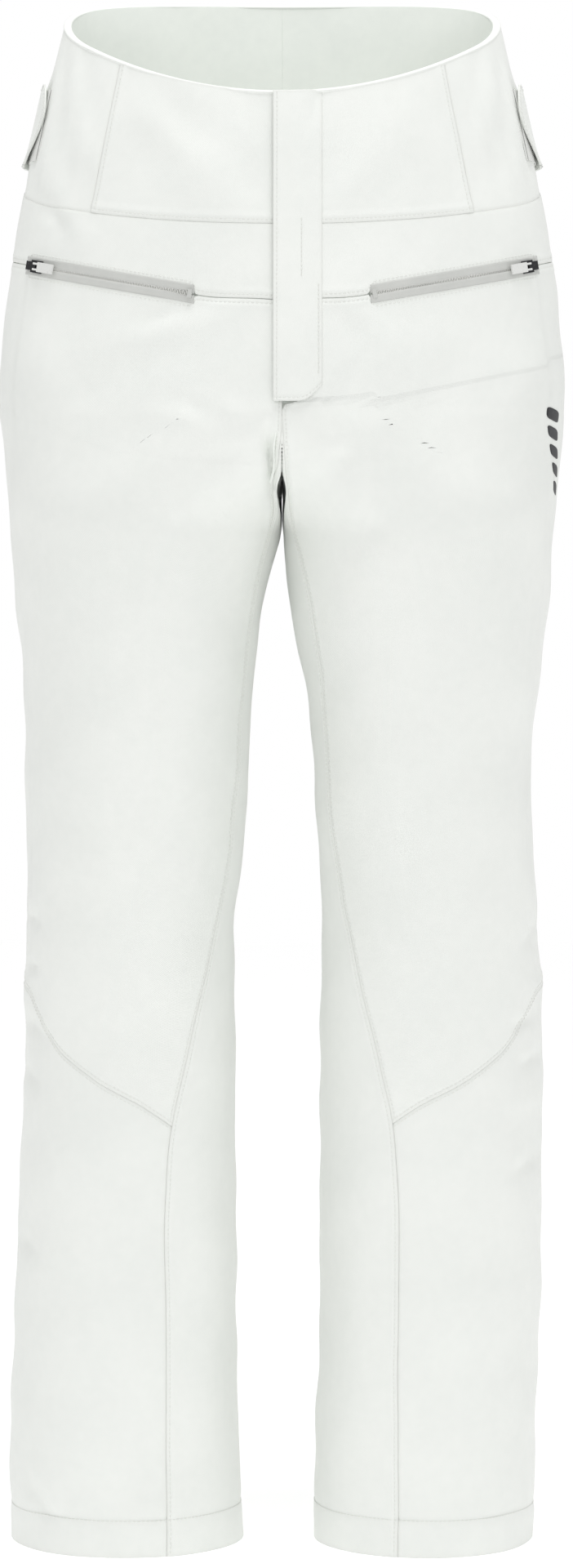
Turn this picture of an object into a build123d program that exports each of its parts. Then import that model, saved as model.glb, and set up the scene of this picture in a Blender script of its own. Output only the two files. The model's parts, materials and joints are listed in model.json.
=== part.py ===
"""Insulated ski pants with an overlapped fly, welded hand pocket zips, waist tabs and bending knees.

The origin is the middle of the waist opening, +Z is up, +X is the wearer's left, and the front faces -Y.
Sizes are in millimetres.
"""
from build123d import *
from math import degrees, sqrt
import os

os.makedirs("parts", exist_ok=True)

# ---- Heights, measured from the middle of the waist opening ----
rim_front = -44
rim_side = 20
rim_back = 45
rise = 250
inseam = 788
band_seam_side = -99
band_seam_slope = 0.3

# ---- Waist and hips: half widths at set heights, and half depths at the top and at the crotch ----
torso_top = 50
waist_level, waist_half_width = -40, 167
band_level, band_half_width = -125, 185
pocket_level, pocket_half_width = -190, 194
top_half_width = 148
hip_half_width = 197
top_half_depth = 94
hip_half_depth = 120
# Radius of the round sides of the oval at the top, the pocket zips and the crotch
top_side_radius = 60
pocket_side_radius = 72
crotch_side_radius = 100

# ---- Legs: share of the inseam below the crotch, centre, half width, half depth ----
leg_gap = 1.0
leg_top_half_depth = 106
leg_shapes = [
    (0.12, 96.0, 95.0, 103),
    (0.24, 99.0, 81.5, 97),
    (0.36, 98.5, 76.5, 91),
    (0.455, 104.5, 73.5, 85),
    (0.56, 105.0, 75.0, 82),
    (0.76, 106.0, 77.0, 79),
    (1.00, 103.5, 79.0, 77),
]
knee_share = 0.453
knee_reach = 80
knee_axis_back = 10

# ---- Cloth layers ----
shell_thick = 2.0
lining_thick = 1.0
lining_gap = 0.4
hem_facing_height = 40

# ---- Seams ----
gusset_seam_x, gusset_seam_lean = 107, 0.2
inner_seam_x, inner_seam_lean = 0.0, 0.12
shin_seam_x = 80

# ---- Fly: widths across, and depths out from the front surface (negative is inwards) ----
fly_width = 19
flap_reach = 6
flap_root = 27
flap_bottom = -97
flap_thick = 1.2
flap_lift = 2.1
flap_corner = 12
binding_width = 6
tape_thick = 0.8
tape_gap = 1.6
fly_tape_top, fly_tape_bottom = 22, -92
underlap_depth, underlap_thick = 4.8, 1.2
guard_reach = 14
coil_width, coil_height = 3.6, 1.4
slider_width, slider_length, plate_thick = 8.6, 10, 1.2
neck_width, neck_length = 1.1, 3.0
running_gap = 0.3
fly_slider_top = 14
stop_length = 3
snap_heights = (45, 85)
snap_centre = 7.0
stud_radius, stud_height = 2.0, 1.4
socket_radius, socket_bore = 5.0, 2.6

# ---- Hand pocket zips ----
zip_outer_x, zip_outer_height = 176, -154
zip_inner_x, zip_inner_height = 61, -179
zip_half_slot = 6.2
end_stop_length = 5
bag_drop = 115
bag_thick = 3.5
bag_rise = 8
pull_length, pull_half_width = 17, 3.4
pull_thick = 1.2
arm_width = 1.35
pin_radius, pin_clearance = 0.5, 0.25
bridge_half_width = 1.0
pin_lift = 1.7
pull_eye_radius = 1.35

# ---- Waist tabs ----
tab_top, tab_bottom = -28, -83
tab_front, tab_root = -30, 55
tab_root_bar = 5
tab_root_gap = 0.7
strip_thick = 0.8
tab_thick = 1.2
tab_edge_margin = 3

# ---- Snow gaiters inside the hems ----
gaiter_top_above_hem = 170
gaiter_bottom_above_hem = 26
gaiter_band = 14
gaiter_half_width, gaiter_half_depth = 62, 60
gaiter_thick = 1.0
gripper_thick = 1.5
hook_width, hook_height, hook_thick = 12, 18, 1.0
hook_depth = 5

hem_height = -(rise + inseam)
knee_height = -rise - knee_share * inseam
reach = 400

torso_widths = [
    (torso_top, top_half_width),
    (waist_level, waist_half_width),
    (band_level, band_half_width),
    (pocket_level, pocket_half_width),
    (-rise, hip_half_width),
]


# ---- Shape of the waist and hips ----
def half_depth(height):
    """Half depth, which grows evenly from the top to the crotch."""
    return top_half_depth + (hip_half_depth - top_half_depth) * (torso_top - height) / (torso_top + rise)


def at_height(levels, height):
    """A size that runs straight between the sizes set at some heights, highest first."""
    for (upper, size_upper), (lower, size_lower) in zip(levels, levels[1:]):
        if height >= lower:
            return size_upper + (size_lower - size_upper) * (upper - height) / (upper - lower)
    return levels[-1][1]


def side_radius(height):
    """Radius of the oval's round sides."""
    return at_height(
        [(torso_top, top_side_radius), (pocket_level, pocket_side_radius), (-rise, crotch_side_radius)],
        height,
    )


def long_radius(wide, deep, corner):
    """Radius of the front and back arcs of an oval whose side arcs have the corner radius."""
    return ((wide - corner) ** 2 + deep**2 - corner**2) / (2 * (deep - corner))


def oval(wide, deep, corner):
    """Four tangent arcs: flat at front and back, round at the sides."""
    big = long_radius(wide, deep, corner)
    ux, uy = (wide - corner) / (big - corner), (big - deep) / (big - corner)
    tx, ty = wide - corner + corner * ux, corner * uy
    with BuildLine() as outline:
        ThreePointArc((-tx, -ty), (0, -deep), (tx, -ty))
        ThreePointArc((tx, -ty), (wide, 0), (tx, ty))
        ThreePointArc((tx, ty), (0, deep), (-tx, ty))
        ThreePointArc((-tx, ty), (-wide, 0), (-tx, -ty))
    make_face(outline.edges())


def torso_solid(inset, floor):
    """The whole waist and hip shape, drawn in by the inset and standing on a floor of that thickness."""
    with BuildPart() as solid:
        for height, wide in torso_widths:
            with BuildSketch(Plane.XY.offset(height)):
                oval(wide - inset, half_depth(height) - inset, side_radius(height) - inset)
        loft(ruled=True)
        if floor > 0:
            split(bisect_by=Plane.XY.offset(-rise + floor), keep=Keep.TOP)
    return solid.part


def leg_face(centre, wide, deep):
    """An oval of four quarter ellipses."""
    with BuildLine() as outline:
        for quarter in range(4):
            EllipticalCenterArc((centre, 0), wide, deep, 90 * quarter)
    make_face(outline.edges())


def leg_solid(inset, upstand):
    """The right leg from the crotch to the hem, drawn in by the inset and carried up through the crotch floor."""
    top_centre = -(hip_half_width + leg_gap / 2) / 2
    top_wide = (hip_half_width - leg_gap / 2) / 2
    with BuildPart() as solid:
        with BuildSketch(Plane.XY.offset(-rise)):
            leg_face(top_centre, top_wide - inset, leg_top_half_depth - inset)
        for share, centre, wide, deep in leg_shapes:
            with BuildSketch(Plane.XY.offset(-rise - share * inseam)):
                leg_face(-centre, wide - inset, deep - inset)
        loft(ruled=True)
        if upstand > 0:
            with BuildSketch(Plane.XY.offset(-rise)):
                leg_face(top_centre, top_wide - inset, leg_top_half_depth - inset)
            extrude(amount=upstand)
    return solid.part


# ---- Small helpers for cutting and placing ----
def cut_to(part, *planes):
    """What lies on the normal's side of every plane."""
    with BuildPart() as kept:
        add(part)
        for plane in planes:
            split(bisect_by=plane, keep=Keep.TOP)
    return kept.part


def without(part, *tools):
    """The part with the tools taken away."""
    with BuildPart() as left:
        add(part)
        for tool in tools:
            add(tool, mode=Mode.SUBTRACT)
    return left.part


def on_side(part, side):
    """The right-hand part, or its mirror image for the left."""
    return part if side == "right" else mirror(part, about=Plane.YZ)


front = Plane(origin=(0, 0, 0), z_dir=(0, -1, 0))
back = Plane(origin=(0, 0, 0), z_dir=(0, 1, 0))
right = Plane(origin=(0, 0, 0), z_dir=(-1, 0, 0))
above_band = Plane(origin=(0, 0, band_seam_side), z_dir=(0, -band_seam_slope, 1))
below_band = Plane(origin=(0, 0, band_seam_side), z_dir=(0, band_seam_slope, -1))
gusset_right = Plane(origin=(-gusset_seam_x, 0, 0), z_dir=(-1, 0, gusset_seam_lean))
middle_right = Plane(origin=(-gusset_seam_x, 0, 0), z_dir=(1, 0, -gusset_seam_lean))
middle_left = Plane(origin=(gusset_seam_x, 0, 0), z_dir=(-1, 0, -gusset_seam_lean))
inner_leg = Plane(origin=(-inner_seam_x, 0, -rise), z_dir=(1, 0, -inner_seam_lean))
outer_leg = Plane(origin=(-inner_seam_x, 0, -rise), z_dir=(-1, 0, inner_seam_lean))
above_knee = Plane.XY.offset(knee_height + knee_reach)
below_knee_top = Plane(origin=(0, 0, knee_height + knee_reach), z_dir=(0, 0, -1))
above_knee_bottom = Plane.XY.offset(knee_height - knee_reach)
below_knee = Plane(origin=(0, 0, knee_height - knee_reach), z_dir=(0, 0, -1))
shin_outer = Plane(origin=(-shin_seam_x, 0, 0), z_dir=(-1, 0, 0))
shin_inner = Plane(origin=(-shin_seam_x, 0, 0), z_dir=(1, 0, 0))
above_facing = Plane.XY.offset(hem_height + hem_facing_height)
below_facing = Plane(origin=(0, 0, hem_height + hem_facing_height), z_dir=(0, 0, -1))

# ---- Everything under the waist rim, a long curve from the low front to the high back ----
with BuildPart() as under_rim:
    with BuildSketch(Plane.YZ):
        rim_half = half_depth(0) + 6
        with BuildLine():
            ThreePointArc((-rim_half, rim_front), (0, rim_side), (rim_half, rim_back))
            Polyline(
                (rim_half, rim_back), (reach, rim_back), (reach, -reach),
                (-reach, -reach), (-reach, rim_front), (-rim_half, rim_front),
            )
        make_face()
    extrude(amount=reach, both=True)


# ---- Fly frame: x across, y up the slope of the front, z out of the cloth ----
fly_slope = (hip_half_depth - top_half_depth) / (torso_top + rise)
fly_height = -150
fly_plane = Plane(
    origin=(0, -half_depth(fly_height), fly_height), x_dir=(1, 0, 0), z_dir=(0, -1, fly_slope)
)


def fly_block(x0, x1, y0, y1, z0, z1):
    """A block in the fly frame."""
    with BuildPart() as block:
        with BuildSketch(fly_plane.offset(z0)):
            with Locations(((x0 + x1) / 2, (y0 + y1) / 2)):
                Rectangle(x1 - x0, y1 - y0)
        extrude(amount=z1 - z0)
    return block.part


tape_face = -shell_thick
coil_top = tape_face + coil_height
plate_low = coil_top + running_gap
plate_back = tape_face - tape_thick - running_gap
zip_middle = fly_width / 2 - 1.5
fly_slot = fly_block(0, fly_width, fly_tape_bottom, reach / 2, -30, 30)
fly_lining_slot = fly_block(
    -flap_reach - 9, flap_root + 3, fly_tape_bottom - 4, reach / 2, -30, 30
)

# ---- Pocket zip frame: the zip lies on an arc round the hip, in a leaning plane ----


def front_depth(x, height):
    """Y of the front surface at x and height."""
    deep = half_depth(height)
    big = long_radius(at_height(torso_widths, height), deep, side_radius(height))
    return big - deep - sqrt(big**2 - x**2)


zip_outer = Vector(-zip_outer_x, front_depth(zip_outer_x, zip_outer_height), zip_outer_height)
zip_inner = Vector(-zip_inner_x, front_depth(zip_inner_x, zip_inner_height), zip_inner_height)
zip_run = zip_inner - zip_outer
zip_normal = zip_run.cross(Vector(-zip_run.Y, zip_run.X, 0)).normalized()
middle_x = -(zip_outer_x + zip_inner_x) / 2
middle_height = (zip_outer_height + zip_inner_height) / 2
for settle in range(20):
    middle_y = front_depth(middle_x, middle_height)
    across = zip_normal.X * (middle_x - zip_inner.X) + zip_normal.Y * (middle_y - zip_inner.Y)
    middle_height = zip_inner.Z - across / zip_normal.Z
zip_middle_point = Vector(middle_x, middle_y, middle_height)
zip_arc = Edge.make_three_point_arc(zip_outer, zip_middle_point, zip_inner)
zip_centre, zip_radius = zip_arc.arc_center, zip_arc.radius
zip_plane = Plane(origin=zip_centre, x_dir=zip_middle_point - zip_centre, z_dir=zip_normal)
zip_below = Plane(origin=zip_centre, z_dir=-zip_normal)
outer_angle = -(zip_outer - zip_centre).get_angle(zip_middle_point - zip_centre)
inner_angle = (zip_inner - zip_centre).get_angle(zip_middle_point - zip_centre)
arc_length = zip_radius * (inner_angle - outer_angle) / degrees(1)


def zip_sector(depth0, depth1, side0, side1, along0, along1):
    """A piece of a ring in the zip frame: depths out from the cloth, sides up, lengths from the outer end."""
    start = outer_angle + degrees(along0 / zip_radius)
    sweep_angle = degrees((along1 - along0) / zip_radius)
    with BuildPart() as sector:
        with BuildSketch(zip_plane.offset(side0)):
            with BuildLine():
                near = CenterArc((0, 0), zip_radius + depth0, start, sweep_angle)
                far = CenterArc((0, 0), zip_radius + depth1, start, sweep_angle)
                Line(near @ 0, far @ 0)
                Line(near @ 1, far @ 1)
            make_face()
        extrude(amount=side1 - side0)
    return sector.part


pocket_slot = zip_sector(-12, 8, -zip_half_slot, zip_half_slot, 0, arc_length)
pocket_slot_left = mirror(pocket_slot, about=Plane.YZ)

# ---- Shells ----
lining_out = shell_thick + lining_gap
lining_in = lining_out + lining_thick
outer_torso, mid_torso, lining_torso, inner_torso = (
    torso_solid(inset, inset) for inset in (0, shell_thick, lining_out, lining_in)
)
# The shell's leg openings are cut a gap higher than the lining legs rise through them
outer_leg_solid = leg_solid(0, 0)
mid_leg = leg_solid(shell_thick, lining_out + lining_gap)
lining_leg = leg_solid(lining_out, lining_out)
inner_leg_solid = leg_solid(lining_in, lining_in)
mid_legs = [mid_leg, mirror(mid_leg, about=Plane.YZ)]
inner_legs = [inner_leg_solid, mirror(inner_leg_solid, about=Plane.YZ)]

with BuildPart() as torso_shell:
    add(outer_torso)
    add(under_rim.part, mode=Mode.INTERSECT)
    for hollow in (mid_torso, *mid_legs):
        add(hollow, mode=Mode.SUBTRACT)

with BuildPart() as torso_lining:
    add(lining_torso)
    add(under_rim.part, mode=Mode.INTERSECT)
    for hollow in (inner_torso, *inner_legs):
        add(hollow, mode=Mode.SUBTRACT)

leg_shell = without(outer_leg_solid, mid_leg)
leg_lining = without(lining_leg, inner_leg_solid)
band_shell = cut_to(torso_shell.part, above_band)
body_shell = cut_to(torso_shell.part, below_band)

# ---- Front panels, yokes, seat and inner leg panels ----
for side in ("right", "left"):
    with BuildPart() as front_panel:
        add(on_side(cut_to(body_shell, front, right, zip_below), side))
        add(on_side(cut_to(leg_shell, front, outer_leg, above_knee), side))
        add(on_side(pocket_slot, side), mode=Mode.SUBTRACT)
        if side == "left":
            add(fly_slot, mode=Mode.SUBTRACT)
    front_panel.part.label = f"front_panel_{side}"
    export_step(front_panel.part, f"parts/front_panel_{side}.step")

    with BuildPart() as front_yoke:
        add(on_side(cut_to(body_shell, front, right, zip_plane), side))
        add(on_side(pocket_slot, side), mode=Mode.SUBTRACT)
        if side == "left":
            add(fly_slot, mode=Mode.SUBTRACT)
    front_yoke.part.label = f"front_yoke_{side}"
    export_step(front_yoke.part, f"parts/front_yoke_{side}.step")

    with BuildPart() as seat_panel:
        add(on_side(cut_to(body_shell, back, right), side))
        add(on_side(cut_to(leg_shell, back, outer_leg, above_knee), side))
    seat_panel.part.label = f"seat_panel_{side}"
    export_step(seat_panel.part, f"parts/seat_panel_{side}.step")

    with BuildPart() as inner_leg_panel:
        add(on_side(cut_to(leg_shell, inner_leg, above_knee), side))
    inner_leg_panel.part.label = f"inner_leg_panel_{side}"
    export_step(inner_leg_panel.part, f"parts/inner_leg_panel_{side}.step")

    with BuildPart() as lining:
        add(on_side(cut_to(torso_lining.part, below_band, right), side))
        add(on_side(cut_to(leg_lining, above_knee), side))
        add(on_side(pocket_slot, side), mode=Mode.SUBTRACT)
        add(fly_lining_slot, mode=Mode.SUBTRACT)
    lining.part.label = f"lining_{side}"
    export_step(lining.part, f"parts/lining_{side}.step")

# ---- Waistband ----
with BuildPart() as waistband_front_right:
    add(cut_to(band_shell, front, right, middle_right))
    add(fly_block(-1, fly_width, 0, 150, -shell_thick, 0))
    add(under_rim.part, mode=Mode.INTERSECT)
    split(bisect_by=above_band, keep=Keep.TOP)
waistband_front_right.part.label = "waistband_front_right"
export_step(waistband_front_right.part, "parts/waistband_front_right.step")

with BuildPart() as waistband_front_left:
    add(on_side(cut_to(band_shell, front, right, middle_right), "left"))
    add(fly_slot, mode=Mode.SUBTRACT)
waistband_front_left.part.label = "waistband_front_left"
export_step(waistband_front_left.part, "parts/waistband_front_left.step")

with BuildPart() as waistband_back:
    add(cut_to(band_shell, back, middle_right, middle_left))
waistband_back.part.label = "waistband_back"
export_step(waistband_back.part, "parts/waistband_back.step")

with BuildPart() as waistband_lining:
    add(cut_to(torso_lining.part, above_band))
    add(fly_lining_slot, mode=Mode.SUBTRACT)
waistband_lining.part.label = "waistband_lining"
export_step(waistband_lining.part, "parts/waistband_lining.step")

for side in ("right", "left"):
    with BuildPart() as side_gusset:
        add(on_side(cut_to(band_shell, gusset_right), side))
    side_gusset.part.label = f"side_gusset_{side}"
    export_step(side_gusset.part, f"parts/side_gusset_{side}.step")

# ---- Fly: flap and its sewn edge, snaps, zip, slider, and the guard behind ----
flap_top = fly_plane.to_local_coords(Vector(0, -half_depth(rim_front), rim_front)).Y
with BuildPart() as fly_flap:
    with BuildSketch(fly_plane.offset(flap_lift)):
        with Locations(((flap_root - flap_reach) / 2, (flap_top + flap_bottom) / 2)):
            Rectangle(flap_root + flap_reach, flap_top - flap_bottom)
    extrude(amount=flap_thick)
    lower_corner = fly_flap.edges().filter_by(Axis(fly_plane.origin, fly_plane.z_dir))
    fillet(lower_corner.group_by(Axis.Z)[0].sort_by(Axis.X)[0], radius=flap_corner)
fly_flap.part.label = "fly_flap"
export_step(fly_flap.part, "parts/fly_flap.step")

with BuildPart() as fly_binding:
    add(
        fly_block(
            flap_root + running_gap, flap_root + binding_width, flap_bottom, flap_top,
            -shell_thick, flap_lift + flap_thick,
        )
    )
    add(outer_torso, mode=Mode.SUBTRACT)
fly_binding.part.label = "fly_binding"
export_step(fly_binding.part, "parts/fly_binding.step")

with BuildPart() as fly_snap_studs:
    with BuildSketch(fly_plane):
        with Locations(*[(snap_centre, level) for level in snap_heights]):
            Circle(stud_radius)
    extrude(amount=stud_height)
fly_snap_studs.part.label = "fly_snap_studs"
export_step(fly_snap_studs.part, "parts/fly_snap_studs.step")

with BuildPart() as fly_snap_sockets:
    with BuildSketch(fly_plane.offset(running_gap)):
        with Locations(*[(snap_centre, level) for level in snap_heights]):
            Circle(socket_radius)
            Circle(socket_bore, mode=Mode.SUBTRACT)
    extrude(amount=flap_lift - running_gap)
fly_snap_sockets.part.label = "fly_snap_sockets"
export_step(fly_snap_sockets.part, "parts/fly_snap_sockets.step")

tape_right_edge = zip_middle - tape_gap / 2
tape_left_edge = zip_middle + tape_gap / 2
tape_reach = tape_left_edge - fly_width
with BuildPart() as fly_tapes:
    add(
        fly_block(
            tape_reach, tape_right_edge, fly_tape_bottom, fly_tape_top,
            tape_face - tape_thick, tape_face,
        )
    )
    add(mid_torso, mode=Mode.INTERSECT)
    add(
        fly_block(
            tape_left_edge, fly_width, fly_tape_bottom, fly_tape_top,
            tape_face - tape_thick, tape_face,
        )
    )
fly_tapes.part.label = "fly_tapes"
export_step(fly_tapes.part, "parts/fly_tapes.step")

coil_end = fly_slider_top - neck_length - 2 * running_gap
coil_start = fly_tape_bottom + 1 + stop_length
half_coil = coil_width / 2
with BuildPart() as fly_coil:
    add(
        fly_block(
            zip_middle - half_coil, zip_middle + half_coil, coil_start, coil_end, tape_face, coil_top
        )
    )
fly_coil.part.label = "fly_coil"
export_step(fly_coil.part, "parts/fly_coil.step")

plate_high = plate_low + plate_thick
fly_pull_length = 18
half_slider = slider_width / 2
with BuildPart() as fly_slider:
    slider_bottom = fly_slider_top - slider_length
    for low in (plate_back - plate_thick, plate_low):
        add(
            fly_block(
                zip_middle - half_slider, zip_middle + half_slider, slider_bottom, fly_slider_top,
                low, low + plate_thick,
            )
        )
    add(
        fly_block(
            zip_middle - neck_width / 2, zip_middle + neck_width / 2,
            fly_slider_top - neck_length, fly_slider_top, plate_back - 0.2, plate_low + 0.2,
        )
    )
    add(
        fly_block(
            zip_middle - 2, zip_middle + 2, fly_slider_top - fly_pull_length, fly_slider_top - 2,
            plate_high, plate_high + 0.6,
        )
    )
fly_slider.part.label = "fly_slider"
export_step(fly_slider.part, "parts/fly_slider.step")

with BuildPart() as fly_guard:
    add(
        fly_block(
            -guard_reach, flap_root, fly_tape_bottom, flap_top,
            -underlap_depth - underlap_thick, -underlap_depth,
        )
    )
    add(
        fly_block(
            -guard_reach, tape_reach - running_gap, fly_tape_bottom, flap_top - running_gap,
            -underlap_depth, tape_face,
        )
    )
    add(mid_torso, mode=Mode.INTERSECT)
fly_guard.part.label = "fly_guard"
export_step(fly_guard.part, "parts/fly_guard.step")

# ---- Hand pockets: tapes, coil, slider, pull and bag ----
slider_start = end_stop_length + 1
neck_end = slider_start + neck_length + 0.5
pin_along = slider_start + slider_length / 2
zip_tape_face = -1.0
zip_coil_top = zip_tape_face + coil_height
zip_plate_low = zip_coil_top + running_gap
zip_plate_back = zip_tape_face - tape_thick - running_gap
pin_depth = zip_plate_low + plate_thick + pin_lift
end_stops = [
    zip_sector(zip_tape_face, zip_tape_face + 1.8, -3, 3, 0, end_stop_length),
    zip_sector(zip_tape_face, zip_tape_face + 1.8, -3, 3, arc_length - stop_length, arc_length),
]


def zip_pin(radius, half_length):
    """A short round bar along the pull's hinge line."""
    angle = outer_angle + degrees(pin_along / zip_radius)
    with BuildPart() as bar:
        with BuildSketch(zip_plane.offset(-half_length)):
            with PolarLocations(zip_radius + pin_depth, 1, start_angle=angle):
                Circle(radius)
        extrude(amount=2 * half_length)
    return bar.part


bag_room = torso_solid(lining_in + running_gap, lining_in + running_gap)
with BuildPart() as slider_solid:
    for low in (zip_plate_back - plate_thick, zip_plate_low):
        add(
            zip_sector(
                low, low + plate_thick, -half_slider, half_slider, slider_start, slider_start + slider_length
            )
        )
    add(
        zip_sector(
            zip_plate_back - 0.2, zip_plate_low + 0.2, -neck_width / 2, neck_width / 2,
            slider_start + 0.5, neck_end,
        )
    )
    add(
        zip_sector(
            zip_plate_low + 0.5, pin_depth + 0.9, -bridge_half_width, bridge_half_width,
            pin_along - 1.5, pin_along + 1.5,
        )
    )
    add(zip_pin(pin_radius, bridge_half_width + running_gap + arm_width))

arm_start = bridge_half_width + running_gap
with BuildPart() as pull_solid:
    add(
        zip_sector(
            pin_depth - pull_thick / 2, pin_depth + pull_thick / 2, -pull_half_width, pull_half_width,
            pin_along + 2.9, pin_along + pull_length,
        )
    )
    for low in (arm_start, -arm_start - arm_width):
        add(
            zip_sector(
                pin_depth - pull_thick / 2, pin_depth + pull_thick / 2, low, low + arm_width,
                pin_along, pin_along + 3,
            )
        )
    add(zip_pin(pull_eye_radius, arm_start + arm_width))
    add(
        zip_sector(
            zip_plate_low, pin_depth + 3, -arm_start, arm_start, pin_along - 3, pin_along + 2.8,
        ),
        mode=Mode.SUBTRACT,
    )
    add(zip_pin(pin_radius + pin_clearance, 2 * pull_half_width), mode=Mode.SUBTRACT)

with BuildPart() as bag_solid:
    bag_face = zip_plate_back - plate_thick - 1
    add(
        zip_sector(
            bag_face - bag_thick, bag_face, -bag_drop, bag_rise, slider_start + slider_length, arc_length - 2
        )
    )
    add(bag_room, mode=Mode.INTERSECT)
    for low in (-zip_half_slot, zip_half_slot - 1):
        add(
            zip_sector(
                bag_face - 1, zip_tape_face - tape_thick, low, low + 1,
                slider_start + slider_length, arc_length - 2,
            )
        )

for side in ("right", "left"):
    with BuildPart() as pocket_tapes:
        for low in (-zip_half_slot, tape_gap / 2):
            tape = zip_sector(
                zip_tape_face - tape_thick, zip_tape_face, low, low + zip_half_slot - tape_gap / 2,
                0, arc_length,
            )
            add(on_side(tape, side))
    pocket_tapes.part.label = f"pocket_tapes_{side}"
    export_step(pocket_tapes.part, f"parts/pocket_tapes_{side}.step")

    with BuildPart() as pocket_coil:
        coil = zip_sector(
            zip_tape_face, zip_coil_top, -half_coil, half_coil,
            neck_end + running_gap, arc_length - stop_length,
        )
        add(on_side(coil, side))
    pocket_coil.part.label = f"pocket_coil_{side}"
    export_step(pocket_coil.part, f"parts/pocket_coil_{side}.step")

    with BuildPart() as pocket_slider:
        add(on_side(slider_solid.part, side))
    pocket_slider.part.label = f"pocket_slider_{side}"
    export_step(pocket_slider.part, f"parts/pocket_slider_{side}.step")

    with BuildPart() as pocket_pull:
        add(on_side(pull_solid.part, side))
    pocket_pull.part.label = f"pocket_pull_{side}"
    export_step(pocket_pull.part, f"parts/pocket_pull_{side}.step")

    with BuildPart() as pocket_bag:
        add(on_side(bag_solid.part, side))
    pocket_bag.part.label = f"pocket_bag_{side}"
    export_step(pocket_bag.part, f"parts/pocket_bag_{side}.step")

# All the small end stops of the three zips
with BuildPart() as zip_stops:
    for side in ("right", "left"):
        for stop in end_stops:
            add(on_side(stop, side))
    for low in (tape_right_edge - 2, tape_left_edge):
        add(
            fly_block(
                low, low + 2, fly_slider_top + 1, fly_slider_top + 1 + stop_length, tape_face, coil_top
            )
        )
    add(
        fly_block(
            zip_middle - 2.5, zip_middle + 2.5, fly_tape_bottom + 0.5, coil_start, tape_face, coil_top
        )
    )
zip_stops.part.label = "zip_stops"
export_step(zip_stops.part, "parts/zip_stops.step")

# ---- Waist tabs: loop strips on the gussets, hook patches and tabs over them ----


def tab_layer(low, high, edge_front, edge_back, edge_top, edge_bottom):
    """A layer that follows the right side of the waistband, between two distances out from it."""
    with BuildPart() as layer:
        add(torso_solid(-high, 0))
        add(torso_solid(-low, 0), mode=Mode.SUBTRACT)
        for plane in (
            right,
            Plane(origin=(0, edge_front, 0), z_dir=(0, 1, 0)),
            Plane(origin=(0, edge_back, 0), z_dir=(0, -1, 0)),
            Plane(origin=(0, 0, edge_top), z_dir=(0, 0, -1)),
            Plane(origin=(0, 0, edge_bottom), z_dir=(0, 0, 1)),
        ):
            split(bisect_by=plane, keep=Keep.TOP)
    return layer.part


patch_low = strip_thick + running_gap
tab_low = patch_low + strip_thick
tab_high = tab_low + tab_thick
patch_edges = (tab_top - tab_edge_margin, tab_bottom + tab_edge_margin)
loop_layer = tab_layer(0, strip_thick, tab_front + 2, tab_root - 8, *patch_edges)
patch_layer = tab_layer(patch_low, tab_low, tab_front + tab_edge_margin, tab_root - 22, *patch_edges)
with BuildPart() as tab_solid:
    add(tab_layer(tab_low, tab_high, tab_front, tab_root, tab_top, tab_bottom))
    add(tab_layer(tab_root_gap, tab_high, tab_root - tab_root_bar, tab_root, tab_top, tab_bottom))

with BuildPart() as loop_strips:
    for side in ("right", "left"):
        add(on_side(loop_layer, side))
loop_strips.part.label = "loop_strips"
export_step(loop_strips.part, "parts/loop_strips.step")

for side in ("right", "left"):
    with BuildPart() as hook_patch:
        add(on_side(patch_layer, side))
    hook_patch.part.label = f"hook_patch_{side}"
    export_step(hook_patch.part, f"parts/hook_patch_{side}.step")

    with BuildPart() as waist_tab:
        add(on_side(tab_solid.part, side))
    waist_tab.part.label = f"waist_tab_{side}"
    export_step(waist_tab.part, f"parts/waist_tab_{side}.step")

# ---- Knees, shins and hems ----
leg_wall = without(outer_leg_solid, inner_leg_solid)
gaiter_top = hem_height + gaiter_top_above_hem
gaiter_bottom = hem_height + gaiter_bottom_above_hem
leg_centre = leg_shapes[-1][1]


def gaiter_part(inset, low, high):
    """The gaiter's lower band, drawn in by the inset."""
    with BuildPart() as band:
        with BuildSketch(Plane.XY.offset(low)):
            leg_face(-leg_centre, gaiter_half_width - inset, gaiter_half_depth - inset)
        extrude(amount=high - low)
    return band.part


def gaiter_solid(inset):
    """A sleeve that narrows from the leg lining to the band that grips the boot."""
    top_share = (inseam - gaiter_top_above_hem) / inseam
    (share0, centre0, wide0, deep0), (share1, centre1, wide1, deep1) = leg_shapes[-2:]
    blend = (top_share - share0) / (share1 - share0)
    lining_inset = lining_in + 1 + inset
    with BuildPart() as sleeve:
        with BuildSketch(Plane.XY.offset(gaiter_top)):
            leg_face(
                -(centre0 + (centre1 - centre0) * blend),
                wide0 + (wide1 - wide0) * blend - lining_inset,
                deep0 + (deep1 - deep0) * blend - lining_inset,
            )
        with BuildSketch(Plane.XY.offset(gaiter_bottom + gaiter_band)):
            leg_face(-leg_centre, gaiter_half_width - inset, gaiter_half_depth - inset)
        loft()
        add(gaiter_part(inset, gaiter_bottom, gaiter_bottom + gaiter_band))
    return sleeve.part


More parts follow.
